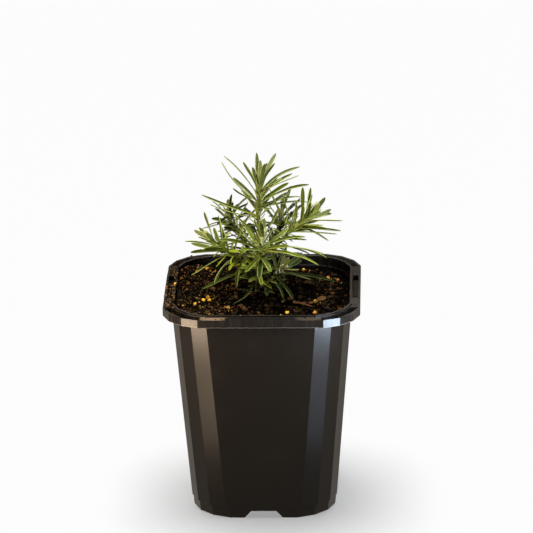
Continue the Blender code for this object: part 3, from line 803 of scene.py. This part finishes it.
def smooth_tube(name, points, radii, sides):
    """A round bar along a smooth curve through the points, closed at both ends, as a mesh."""
    curve = bpy.data.curves.new(name, "CURVE")
    curve.dimensions = "3D"
    curve.bevel_depth = 1.0
    curve.bevel_resolution = sides // 2 - 1
    curve.use_fill_caps = True
    curve.resolution_u = 8
    spline = curve.splines.new("BEZIER")
    spline.bezier_points.add(len(points) - 1)
    for knot, point, radius in zip(spline.bezier_points, points, radii):
        knot.co = point
        knot.radius = radius
        knot.handle_left_type = "AUTO"
        knot.handle_right_type = "AUTO"
    put_in_scene(name, curve)
    bpy.ops.object.convert(target="MESH")
    return bpy.context.object


low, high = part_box("twig")
height = (low.z + high.z) / 2
ends = Vector((*TWIG_FROM, 0)) * MM, Vector((*TWIG_TO, 0)) * MM
knots = [ends[0].lerp(ends[1], share) + Vector((0, 0, height)) for share in (0, 0.5, 1)]
knots[1].z += TWIG_RISE
twig = smooth_tube("bark_twig", knots, TWIG_RADII, 10)
for vert in twig.data.vertices:
    vert.co += vert.normal * TWIG_ROUGHNESS * noise.fractal(vert.co / (0.9 * MM), 0.7, 2.0, 3)
paint(twig.data, "tint", [(1, 1, 1, 1)] * len(twig.data.vertices))
twig.data.materials.append(mix_finish("reddish bark", *REDDISH_BARK, 0.7))
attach(twig, "root")
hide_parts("twig")

# The leafy shoots: the leading stem and six side shoots, with narrow leaves set all round them. A leaf is a
# felted blade, grooved above, pale and ribbed below, with its margins rolled under, grown on to the stem.
# Each shoot has its stem's points and its leaves, in millimetres. A leaf is where it springs, as a share
# of the stem's length; x, y and z of its tip; how far it bows up in its middle; and, on some, how far it
# turns about its own length, in degrees.
MAIN_STEM = ((-3, 4, 89), (-3, 4, 107), (-3, 4, 125), (-2, 3, 140), (-2, 3, 153), (-1, 3, 167))
MAIN_LEAVES = (
    (0.91, -19, 1, 183, 1.4),
    (0.88, -20, -2, 181, -2.0),
    (0.94, -9, -5, 182, 0.7),
    (0.86, -14, -14, 171, 0.0),
    (0.94, -3, 19, 179, -1.0),
    (0.96, -1, 16, 176, 0.0),
    (0.97, 2, -8, 182, 0.0),
    (0.97, 7, 18, 179, 1.6),
    (0.95, 7, -7, 182, 1.6),
    (0.94, 19, 20, 171, 3.0),
    (0.91, 15, 24, 166, 1.8),
    (0.93, 19, -6, 175, 1.0),
    (0.89, 13, 27, 160, 0.0),
    (0.87, 24, 3, 167, 1.9),
    (0.96, 6, -10, 172, 0.0),
    (0.85, 20, 19, 155, 1.4),
    (0.84, 25, 21, 151, 1.8),
    (0.83, 5, -20, 162, 0.5),
    (0.79, -31, 5, 161, -0.6),
    (0.77, -26, -7, 160, -0.9),
    (0.38, -14, -19, 111, -3.8, 50),
    (0.36, 37, 10, 112, 3.0),
)
RIGHT_STEM = ((-0.9, 4.6, 125), (4, 6, 131), (10, 7, 136), (14, 7, 141), (19, 7, 144), (24, 7, 149))
RIGHT_LEAVES = (
    (0.95, 32, 18, 155, 0.0, 40),
    (0.97, 29, 2, 157, 0.0),
    (0.96, 25, 3, 157, 0.0),
    (0.98, 35, 14, 150, -1.5),
    (0.92, 35, 22, 145, 1.0),
    (0.87, 41, -1, 149, 0.5),
    (0.74, 32, -6, 147, 0.5),
    (0.72, 40, 12, 139, 0.5),
    (0.60, 38, 1, 141, 0.5),
    (0.86, 21, -4, 168, 0.0, 60),
    (0.83, 21, 1, 157, 0.0),
    (0.67, 11, -6, 165, 0.0),
    (0.58, 5, -8, 166, 1.0),
)
LEFT_STEM = ((-4.5, 2.7, 117), (-8, 0, 122), (-12, -3, 129), (-19, -5, 135), (-25, -6, 140))
LEFT_LEAVES = (
    (0.98, -29, -10, 157, 0.0, 70),
    (0.93, -28, -16, 148, 0.0),
    (0.97, -35, 5, 142, 0.0),
    (0.84, -25, 6, 143, 0.0),
    (0.83, -39, -12, 142, 0.7),
    (0.78, -30, -17, 139, 0.8),
    (0.72, -37, 2, 131, 0.8),
    (0.66, -36, -13, 124, 0.5),
    (0.53, -24, -20, 122, 2.0, 50),
    (0.48, -20, 8, 122, 0.5),
    (0.38, -13, -15, 118, 1.7),
    (0.20, -31, -9, 115, 1.0),
)
FRONT_STEM = ((-3, 1.3, 114), (-2, -5, 122), (-1, -9, 129), (0, -13, 138), (1, -14, 145))
FRONT_LEAVES = (
    (0.92, 9, -20, 162, 0.3, 60),
    (0.93, -3, -24, 158, 0.0),
    (0.97, 0, -20, 155, 0.0),
    (0.87, -14, -17, 159, 0.6),
    (0.83, -13, -21, 156, -1.5),
    (0.80, -10, -27, 151, -1.0),
    (0.78, -10, -29, 143, 0.5),
    (0.76, -22, -22, 146, 2.5),
    (0.64, -8, -31, 132, 1.0),
    (0.64, 5, -28, 131, 1.0),
    (0.60, -1, -30, 128, 1.5),
    (0.79, 14, -23, 143, 0.5),
    (0.82, 22, -6, 142, 2.0),
    (0.72, 20, -26, 138, 2.5),
    (0.82, 33, -10, 132, 3.2, -28),
    (0.80, 32, -21, 138, 2.6, -40),
    (0.78, 29, -26, 134, 3.0, -32),
)
BACK_LEFT_STEM = ((-4.2, 5.6, 121), (-10, 14, 133), (-17, 19, 142), (-17, 20, 148))
BACK_LEFT_LEAVES = (
    (0.76, -27, 29, 140, 0.8),
    (0.71, -22, 31, 137, 0.5),
    (0.86, -13, 32, 147, 0.5),
    (0.77, -7, 30, 144, 1.0),
    (0.93, -19, 12, 151, 0.0),
    (0.67, -20, 10, 142, 0.0),
    (0.90, -26, 18, 153, 0.0),
    (0.50, -12, 30, 130, 1.0),
    (0.45, -24, 20, 126, 1.0),
)
BACK_RIGHT_STEM = ((-1.8, 5.8, 122), (3, 12, 131), (8, 16, 138), (10, 19, 148))
BACK_RIGHT_LEAVES = (
    (0.96, 10, 31, 151, 0.0),
    (0.73, 18, 33, 141, 1.5),
    (0.69, 1, 32, 145, 0.5),
    (0.85, 19, 29, 151, 0.5),
    (0.90, 3, 24, 158, 0.0),
    (0.55, 6, 34, 132, 1.0),
    (0.45, 22, 24, 130, 1.0),
    (0.95, 14, 22, 160, 0.0),
)
LOW_RIGHT_STEM = ((-1.6, 2.4, 112), (5, -6, 119), (10, -9, 126))
LOW_RIGHT_LEAVES = (
    (0.95, 14, -15, 134, 0.0),
    (0.90, 12, 3, 131, 0.0),
    (0.97, 19, -19, 129, 0.0),
    (0.91, 25, -20, 124, 0.6),
    (0.92, 20, 2, 127, 0.5),
    (0.75, 16, -27, 116, 0.5),
    (0.67, 11, -25, 116, 0.5),
)

# Each shoot's other leaves follow a rule: how many are drawn, the first one's bearing, the share of the
# stem where they start, and the least +Y part of the direction of those that are kept.
SHOOTS = (
    ("leading_shoot", MAIN_STEM, (1.4, 0.7), MAIN_LEAVES, (26, 58, 0.76, 0.3)),
    ("right_shoot", RIGHT_STEM, (1.1, 0.6), RIGHT_LEAVES, (14, 100, 0.6, 0.3)),
    ("left_shoot", LEFT_STEM, (1.1, 0.6), LEFT_LEAVES, (14, 70, 0.55, 0.3)),
    ("front_shoot", FRONT_STEM, (1.1, 0.6), FRONT_LEAVES, (10, 30, 0.7, 0.2)),
    ("back_left_shoot", BACK_LEFT_STEM, (1.0, 0.6), BACK_LEFT_LEAVES, (12, 120, 0.5, -0.3)),
    ("back_right_shoot", BACK_RIGHT_STEM, (1.0, 0.6), BACK_RIGHT_LEAVES, (12, 200, 0.5, -0.3)),
    ("low_right_shoot", LOW_RIGHT_STEM, (0.9, 0.6), LOW_RIGHT_LEAVES, (8, 0, 0.6, 0.1)),
)

# The small inner leaves that hide the stems: how many each shoot has, the shares of the stem between which
# they spring, the shortest and the longest, and how much shade is painted on the whole shoot where the
# others shade it.
INNER_LEAVES = {
    "leading_shoot": (40, (0.24, 0.76), (8, 15), 0.1),
    "right_shoot": (12, (0.15, 0.7), (6, 10), 0.0),
    "left_shoot": (18, (0.15, 0.85), (7, 12), 0.0),
    "front_shoot": (18, (0.1, 0.8), (7, 12), 0.0),
    "back_left_shoot": (26, (0.2, 0.95), (8, 15), 0.5),
    "back_right_shoot": (18, (0.2, 0.95), (8, 13), 0.5),
    "low_right_shoot": (14, (0.15, 0.9), (5, 9), 0.55),
}
# The pale leaves that stand against a stem and sheathe it: their number, the shortest and the longest. The
# white-felted ones in two buds: between which shares of the stem, the shortest and the longest, and which
# way they lean. Then how far each kind spreads from the stem, in degrees, and fresh growth: how yellow the
# inner and the outer leaves are.
USUAL_CLASPING = (14, (7, 12))
CLASPING_LEAVES = {"right_shoot": (20, (11, 16))}
CLASPING_SHARES = (0.4, 0.9)
WOOLLY_SHOOTS = {
    "front_shoot": ((0.8, 1.0), (3.92, 7.28), (0.1, -1.1, 1.5)),
    "low_right_shoot": ((0.76, 0.96), (2.94, 5.46), (0, -0.5, 0.2)),
}
INNER_SPREADS = (60, 100)
CLASPING_SPREADS = (14, 34)
WOOL_SPREADS = (25, 60)
WOOL_LEAVES = 18
FRESH_GROWTH = {"left_shoot": (0.85, 0.08), "right_shoot": (0.3, 0.0), "front_shoot": (0.2, 0.1)}
SLIM_SHOOTS = {"left_shoot": 0.84}
AXILS_FROM, AXILS_TO = 0.3, 0.9
BUD_LEAVES = 5
WOOLLY_BUD_SHORTNESS = 0.45
BUD_YOUTH = 0.8
WOOLLY_BUD_YOUTH = 1.8

# Shade is painted on a leaf as a darker green, the more as its tip lies lower between two heights and the
# more inside the shoot it is. Below zero the same number is fresh growth. The leaf's tint holds a chance
# number, its youth and this painted shade.
SHADE_HEIGHTS = (112 * MM, 133 * MM)
LOWEST_SHADE = 1.0
INNER_SHADE = 0.55

# One leaf, its sizes by kind beside a full leaf's, its hairs and its colours.
LEAF_WIDTH = 2.3 * MM
LEAF_THICKNESS = 0.66 * MM
LEAF_SIDES = 16
LEAF_CUTS = (0.04, 0.1, 0.2, 0.32, 0.45, 0.58, 0.7, 0.8, 0.87, 0.92, 0.955, 0.98, 0.994)
TIP_START = 0.83
USUAL_LENGTH = 20 * MM
GOLDEN_ANGLE = math.radians(137.5)
FULL_TURN = math.radians(20)
FULL_SIZE, INNER_SIZE, BUD_SIZE, CLASPING_SIZE, TUFT_SIZE, WOOL_SIZE = 1.0, 0.75, 0.62, 0.6, 0.45, 0.4
HAIRS = 46
STEM_HAIRS = 150
HAIR_LENGTHS = (0.15 * MM, 0.36 * MM)
HAIR_RADIUS = 0.018 * MM
FELT_SHEEN = (0.85, 0.95, 0.6)
LEAF_GLOW = (0.6, 0.9, 0.2)
UPPER_DARK = (0.008, 0.017, 0.0005)
UPPER_PALE = (0.125, 0.172, 0.006)
BLUISH = (0.13, 0.19, 0.085)
STREAK = (0.038, 0.058, 0.003)
GROOVE = (0.008, 0.015, 0.0008)
RIB = (0.25, 0.29, 0.06)
UNDERSIDE = (0.12, 0.155, 0.01)
# The darker green of painted shade.
SHADED_GREEN = (0.006, 0.015, 0.0008)
PALE_MARGIN = (0.5, 0.56, 0.14)
TANNED_MARGIN = (0.45, 0.37, 0.15)
LEAF_FOOT = (0.35, 0.41, 0.05)
YOUNG_FELT = (0.62, 0.66, 0.28)
WHITE_FELT = (0.88, 0.88, 0.58)
SILVER = (0.4, 0.45, 0.14)
FRESH_GREEN = (0.36, 0.44, 0.03)
STEM_GREENS = ((0.03, 0.045, 0.005), (0.16, 0.19, 0.035))
STEM_BROWNS = ((0.05, 0.035, 0.02), (0.2, 0.15, 0.08))
BARK_FROM = (122 * MM, 108 * MM)


def breadth_at(share):
    """A leaf's breadth at a share of its length: widest past the middle, then rounded off to the tip."""
    body = float(np.interp(share, (0, 0.12, 0.3, 0.72, 1.0), (0.62, 0.6, 0.8, 1.0, 0.72)))
    past = max(0.0, share - TIP_START) / (1 - TIP_START)
    return body * max(0.004, 1 - past**2) ** 0.55


def surface_at(across, up):
    """How high a leaf's surface stands here: grooved above, ribbed below, its margins rolled under."""
    rounding = max(0.0, 1 - across**2) ** 0.35
    if abs(across) < 0.01 and abs(up) < 0.01:
        return 0.0
    if up > 0:
        return 0.5 * rounding - 0.26 * math.exp(-((across / 0.24) ** 2))
    return 0.24 * math.exp(-(((abs(across) - 0.45) / 0.22) ** 2)) - 0.5 * rounding


def hair_blank():
    """A three-sided hair of unit radius at its foot and unit length on Z."""
    bpy.ops.mesh.primitive_cone_add(vertices=3, radius1=1, radius2=0, depth=1, location=(0, 0, 0.5))
    bpy.ops.object.transform_apply(location=True)
    return without_object(bpy.context.object)


def hair_points(hair, foot, direction, length):
    """The hair's vertices, standing on its foot in this direction."""
    turn = direction.to_track_quat("Z", "Y").to_matrix()
    size = Vector((HAIR_RADIUS, HAIR_RADIUS, length))
    return [foot + turn @ (vert.co * size) for vert in hair.vertices]


def leaf_blank(hair):
    """A hairy straight leaf one unit long on Z and one wide on X, with its upper side towards +Y."""
    bpy.ops.mesh.primitive_cylinder_add(
        vertices=LEAF_SIDES, radius=1, depth=1, end_fill_type="TRIFAN", location=(0, 0, 0.5)
    )
    blade = cut_across(LEAF_CUTS)
    sides = []
    for vert in blade.data.vertices:
        across, up, share = vert.co
        sides.append((across, share, 0.5 + 0.5 * up, 1.0))
        vert.co.x = across / 2 * breadth_at(share)
        vert.co.y = surface_at(across, up) * (0.45 + 0.55 * breadth_at(share))
    copies = [(blade.data, [vert.co.copy() for vert in blade.data.vertices], (0, 0, 0))]
    draw = random.Random(41)
    for i in range(HAIRS):
        bearing = math.pi * (i % 2) + draw.gauss(0, 0.5)
        across, up, share = math.cos(bearing), math.sin(bearing), draw.uniform(0.03, 0.97)
        foot = Vector((across / 2 * breadth_at(share) * LEAF_WIDTH, 0, share * USUAL_LENGTH))
        foot.y = surface_at(across, up) * (0.45 + 0.55 * breadth_at(share)) * LEAF_THICKNESS
        direction = Vector((across, 0.8 * up, draw.uniform(-0.2, 0.7))).normalized()
        points = hair_points(hair, foot, direction, draw.uniform(*HAIR_LENGTHS))
        points = [Vector((p.x / LEAF_WIDTH, p.y / LEAF_THICKNESS, p.z / USUAL_LENGTH)) for p in points]
        copies.append((hair, points, (0, 0, 0)))
        sides.extend([(1.0, share, 1.0, 1.0)] * len(points))
    bpy.data.objects.remove(blade)
    hairy = gathered("hairy leaf", copies)
    paint(hairy.data, "blade", sides)
    return without_object(hairy)


def leaf_points(blank, base, tip, bow, axis, width, thickness, twist, wave):
    """The blank's vertices along a leaf's own curve, its upper side facing the shoot's growing end."""
    reach = tip - base
    inward = axis - 0.25 * (reach - reach.dot(axis) * axis).normalized()
    upper = (inward - inward.dot(reach.normalized()) * reach.normalized()).normalized()
    control = base + reach / 2 + 2 * bow * upper
    rows = {}
    points = []
    for vert in blank.vertices:
        share = vert.co.z
        if share not in rows:
            point = (1 - share) ** 2 * base + 2 * share * (1 - share) * control + share**2 * tip
            along = ((1 - share) * (control - base) + share * (tip - control)).normalized()
            normal = (upper - upper.dot(along) * along).normalized()
            normal = Matrix.Rotation(twist * share, 3, along) @ normal
            point += normal * wave * math.sin(2 * math.pi * share) * share
            rows[share] = point, along.cross(normal) * width, normal * thickness
        point, across, normal = rows[share]
        points.append(point + vert.co.x * across + vert.co.y * normal)
    return points


def on_stem(points, share):
    """The point at this share of the stem's length, and the stem's direction there."""
    lengths = [(b - a).length for a, b in zip(points, points[1:])]
    left = share * sum(lengths)
    for a, b, length in zip(points, points[1:], lengths):
        if left <= length + 1e-9:
            break
        left -= length
    return a.lerp(b, min(1.0, left / length)), (b - a).normalized()


def around(axis, bearing, spread):
    """The direction that leaves the stem by the angle spread, on this bearing round it."""
    first = axis.cross(Vector((0, 1, 0))).normalized()
    second = axis.cross(first)
    out = math.cos(bearing) * first + math.sin(bearing) * second
    return math.cos(spread) * axis + math.sin(spread) * out


def rule_leaves(points, rule, draw):
    """Leaves a golden angle apart up the stem, without those that point where the listed ones are."""
    count, start, lowest, least_y = rule
    found = []
    for i in range(count):
        base, axis = on_stem(points, lowest + (0.95 - lowest) * i / count)
        spread = math.radians(82 - 40 * i / count + draw.uniform(-6, 6))
        direction = around(axis, math.radians(start) + i * GOLDEN_ANGLE, spread)
        length = (23 - 8 * i / count + draw.uniform(-2, 2)) * MM
        if direction.y > least_y:
            found.append((base, base + length * direction, draw.uniform(-0.5, 1.5) * MM, axis))
    return found


def sprung(points, share, bearing, spread, length, bow, lean=(0, 0, 0)):
    """A leaf's foot at this share of the stem, its tip, its bow and the stem's direction there."""
    base, axis = on_stem(points, share)
    direction = (around(axis, bearing, math.radians(spread)) + Vector(lean)).normalized()
    return base, base + length * MM * direction, bow * MM, axis


def bud_leaves(points, shortness, draw):
    """Short young leaves standing close round the growing end, shorter by this share on a held-back shoot."""
    found = []
    for i in range(BUD_LEAVES):
        length = (7 + draw.uniform(0, 3)) * (1 - shortness)
        found.append(sprung(points, 0.99, i * GOLDEN_ANGLE, 16 + 5 * (i % 2), length, -0.3))
    return found


def tuft_leaves(points, shares, draw):
    """Tiny leaves in the axils of larger ones, where side buds are waking."""
    found = []
    for share in shares:
        bearing = draw.uniform(0, 2 * math.pi)
        for i in range(3):
            spread, length = draw.uniform(18, 50), draw.uniform(4, 8)
            found.append(sprung(points, share, bearing + 0.5 * i, spread, length, 0.2))
    return found


def small_leaves(points, count, shares, spreads, lengths, draw, bow=None, lean=(0, 0, 0)):
    """Leaves a golden angle apart between two shares of the stem, each with its own bow if none is given."""
    found = []
    for i in range(count):
        share = shares[0] + (shares[1] - shares[0]) * i / count
        spread, length = draw.uniform(*spreads), draw.uniform(*lengths)
        arch = draw.uniform(0.3, 1.2) if bow is None else bow
        found.append(sprung(points, share, i * GOLDEN_ANGLE, spread, length, arch, lean))
    return found


def turned_leaves(leaves, size, most_turn, youth, draw):
    """Each leaf with its size, a turn of up to this much about its own length, and how young it is."""
    return [(*leaf, size, draw.uniform(-most_turn, most_turn), youth) for leaf in leaves]


def leaf_finish():
    """Felted leaf: olive above with paler rims, silvery below, yellower near the stem and when young.
    Painted shade darkens it and hides its pale rims and foot.
    """
    sheen = {"Sheen_Weight": 0.01, "Sheen_Roughness": 0.5, "Sheen_Tint": (*FELT_SHEEN, 1)}
    inside = {"Subsurface_Weight": 0.1, "Subsurface_Radius": LEAF_GLOW, "Subsurface_Scale": 0.5 * MM}
    made, tree, shader = new_finish("felted leaf", Roughness=0.35, Specular_IOR_Level=0.08, **sheen, **inside)
    place = own_place(tree)
    blade = stored(tree, "blade", "Vector")
    x, y, z = add_node(tree, "SeparateXYZ", {0: blade}).outputs
    from_middle = result(tree, "ABSOLUTE", x)
    tint = stored(tree, "tint", "Color")
    # The tint's parts: chance, youth, and painted shade, which below zero is fresh growth.
    chance, youth, shade_and_freshness = add_node(tree, "SeparateColor", {0: tint}).outputs
    along = add_node(tree, "Mapping", {"Vector": blade, "Scale": (4.0, 1.5, 2.0)}).outputs[0]
    shifted = add_node(tree, "VectorMath", {0: along, 1: tint}, operation="ADD").outputs[0]
    upper = layered(
        tree,
        UPPER_DARK,
        (ramp(tree, chance, 0.38, 0.75), UPPER_PALE),
        (ramp(tree, chance, 0.83, 0.9, 0.85), BLUISH),
        (ramp(tree, noise_on(tree, shifted, 3.0, 4.0), 0.35, 0.65), STREAK),
        (ramp(tree, from_middle, 0.3, 0.05, 0.7), GROOVE),
    )
    under = blend(tree, ramp(tree, from_middle, 0.08, 0.24), RIB, UNDERSIDE)
    tanned = ramp(tree, noise_on(tree, place, 260.0, 2.0), 0.52, 0.68, 0.7)
    # How much of the pale rims and foot shows: less where shade is painted.
    kept = ramp(tree, shade_and_freshness, 0.0, 1.0, 0.2, 1.0)
    rim = both(tree, ramp(tree, from_middle, 0.7, 0.96, 0.9), kept)
    felt = noise_on(tree, place, 3000.0, 3.0, 0.7)
    colour = layered(
        tree,
        blend(tree, ramp(tree, z, 0.35, 0.5), under, upper),
        # Painted shade: a darker green by the leaf's shade number.
        (both(tree, shade_and_freshness, 0.97), SHADED_GREEN),
        (rim, blend(tree, tanned, PALE_MARGIN, TANNED_MARGIN)),
        (both(tree, ramp(tree, y, 0.3, 0.02, 0.55), kept), LEAF_FOOT),
        (both(tree, youth, 0.8), YOUNG_FELT),
        (ramp(tree, youth, 1.0, WOOLLY_BUD_YOUTH, 0.88), WHITE_FELT),
        (ramp(tree, felt, 0.5, 0.75, 0.05), SILVER),
        (both(tree, shade_and_freshness, -1.0), FRESH_GREEN),
    )
    tree.links.new(colour, shader.inputs["Base Color"])
    raise_surface(tree, shader, felt, 0.35, 0.12 * MM)
    return made


def stem_finish():
    """Woolly green stem, brown and corky where it leaves the mix."""
    made, tree, shader = new_finish("woolly stem", Roughness=0.7, Sheen_Weight=0.05, Specular_IOR_Level=0.1)
    place = own_place(tree)
    height = add_node(tree, "SeparateXYZ", {0: place}).outputs["Z"]
    wool = noise_on(tree, place, 1800.0, 5.0, 0.7)
    green = blend(tree, wool, *STEM_GREENS)
    brown = blend(tree, noise_on(tree, place, 300.0, 2.0), *STEM_BROWNS)
    tree.links.new(blend(tree, ramp(tree, height, *BARK_FROM), green, brown), shader.inputs["Base Color"])
    raise_surface(tree, shader, wool, 0.5, 0.2 * MM)
    return made


hair = hair_blank()
blank = leaf_blank(hair)
blank_sides = np.zeros(len(blank.vertices) * 4, dtype=np.float32)
blank.attributes["blade"].data.foreach_get("color", blank_sides)
felt_leaf = leaf_finish()
wool_stem = stem_finish()
for name, stem, (thick, thin), leaves, rule in SHOOTS:
    draw = random.Random(name)
    extra = random.Random(name + " extra")
    points = [Vector(point) * MM for point in stem]
    inner_count, shares, lengths, shoot_shade = INNER_LEAVES[name]
    sheath_count, sheath_lengths = CLASPING_LEAVES.get(name, USUAL_CLASPING)
    fresh_inside, fresh_outside = FRESH_GROWTH.get(name, (0.0, 0.0))
    woolly = name in WOOLLY_SHOOTS
    bud_youth = WOOLLY_BUD_YOUTH if woolly else BUD_YOUTH - shoot_shade
    bud_shortness = WOOLLY_BUD_SHORTNESS if woolly else shoot_shade
    grown = []
    for share, x, y, z, bow, *turn in leaves:
        base, axis = on_stem(points, share)
        twist = math.radians(sum(turn)) + draw.uniform(-FULL_TURN, FULL_TURN)
        youth = max(0.0, share - 0.9) * 3
        grown.append((base, Vector((x, y, z)) * MM, bow * MM, axis, FULL_SIZE, twist, youth))
    grown += turned_leaves(rule_leaves(points, rule, draw), FULL_SIZE, FULL_TURN, 0.1, draw)
    grown += [(*leaf, BUD_SIZE, 0.0, bud_youth) for leaf in bud_leaves(points, bud_shortness, draw)]
    axils = [share for share, *_ in leaves if AXILS_FROM < share < AXILS_TO][::2]
    grown += turned_leaves(tuft_leaves(points, axils, extra), TUFT_SIZE, 0.3, 0.6, extra)
    inner = small_leaves(points, inner_count, shares, INNER_SPREADS, lengths, extra)
    grown += turned_leaves(inner, INNER_SIZE, 0.5, 0.0, extra)
    sheath = small_leaves(points, sheath_count, CLASPING_SHARES, CLASPING_SPREADS, sheath_lengths, extra, 0.5)
    grown += turned_leaves(sheath, CLASPING_SIZE, 0.3, 0.25, extra)
    if woolly:
        shares, lengths, lean = WOOLLY_SHOOTS[name]
        felted = small_leaves(points, WOOL_LEAVES, shares, WOOL_SPREADS, lengths, extra, 0.3, lean)
        grown += turned_leaves(felted, WOOL_SIZE, 0.4, WOOLLY_BUD_YOUTH, extra)
    copies = []
    for base, tip, bow, axis, size, twist, youth in grown:
        width = LEAF_WIDTH * size * SLIM_SHOOTS.get(name, 1.0) * extra.uniform(0.98, 1.22)
        thickness = LEAF_THICKNESS * (0.6 + 0.4 * size)
        wave = extra.uniform(-0.5, 0.5) * MM
        # Painted shade: the shoot's own, more the lower the tip lies, and more on inner leaves.
        shade_and_freshness = shoot_shade + float(np.interp(tip.z, SHADE_HEIGHTS, (LOWEST_SHADE, 0)))
        if size == INNER_SIZE:
            shade_and_freshness = min(1.0, shade_and_freshness + INNER_SHADE)
        if size in (TUFT_SIZE, CLASPING_SIZE, INNER_SIZE) and fresh_inside:
            shade_and_freshness = -fresh_inside * extra.uniform(0.5, 1.0)
        elif size == FULL_SIZE and fresh_outside:
            shade_and_freshness -= fresh_outside * extra.uniform(0.5, 1.5)
        blade = leaf_points(blank, base, tip, bow, axis, width, thickness, twist, wave)
        copies.append((blank, blade, (extra.random(), youth, shade_and_freshness)))
    foliage = gathered(name + "_leaves", copies)
    paint(foliage.data, "blade", np.tile(blank_sides, len(copies)))
    foliage.data.materials.append(felt_leaf)
    hairs = []
    for _ in range(STEM_HAIRS):
        share = extra.random()
        foot, axis = on_stem(points, share)
        radius = (thick + (thin - thick) * share) * MM
        out = around(axis, extra.uniform(0, 7), math.radians(extra.uniform(50, 110)))
        length = 0.4 * radius + extra.uniform(0.2, 0.5) * MM
        hairs.append((hair, hair_points(hair, foot + 0.6 * radius * out, out, length), (0, 0, 0)))
    wool = gathered(name + "_wool", hairs)
    wool.data.materials.append(wool_stem)
    steps = len(points) - 1
    radii = [(thick + (thin - thick) * i / steps) * MM for i in range(steps + 1)]
    stalk = smooth_tube(name + "_grown", points, radii, 12)
    stalk.data.materials.append(wool_stem)
    stalk.data.materials.append(felt_leaf)
    foliage.select_set(True)
    wool.select_set(True)
    bpy.ops.object.join()
    bpy.ops.object.shade_smooth()
    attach(stalk, "root")
    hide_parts(name)
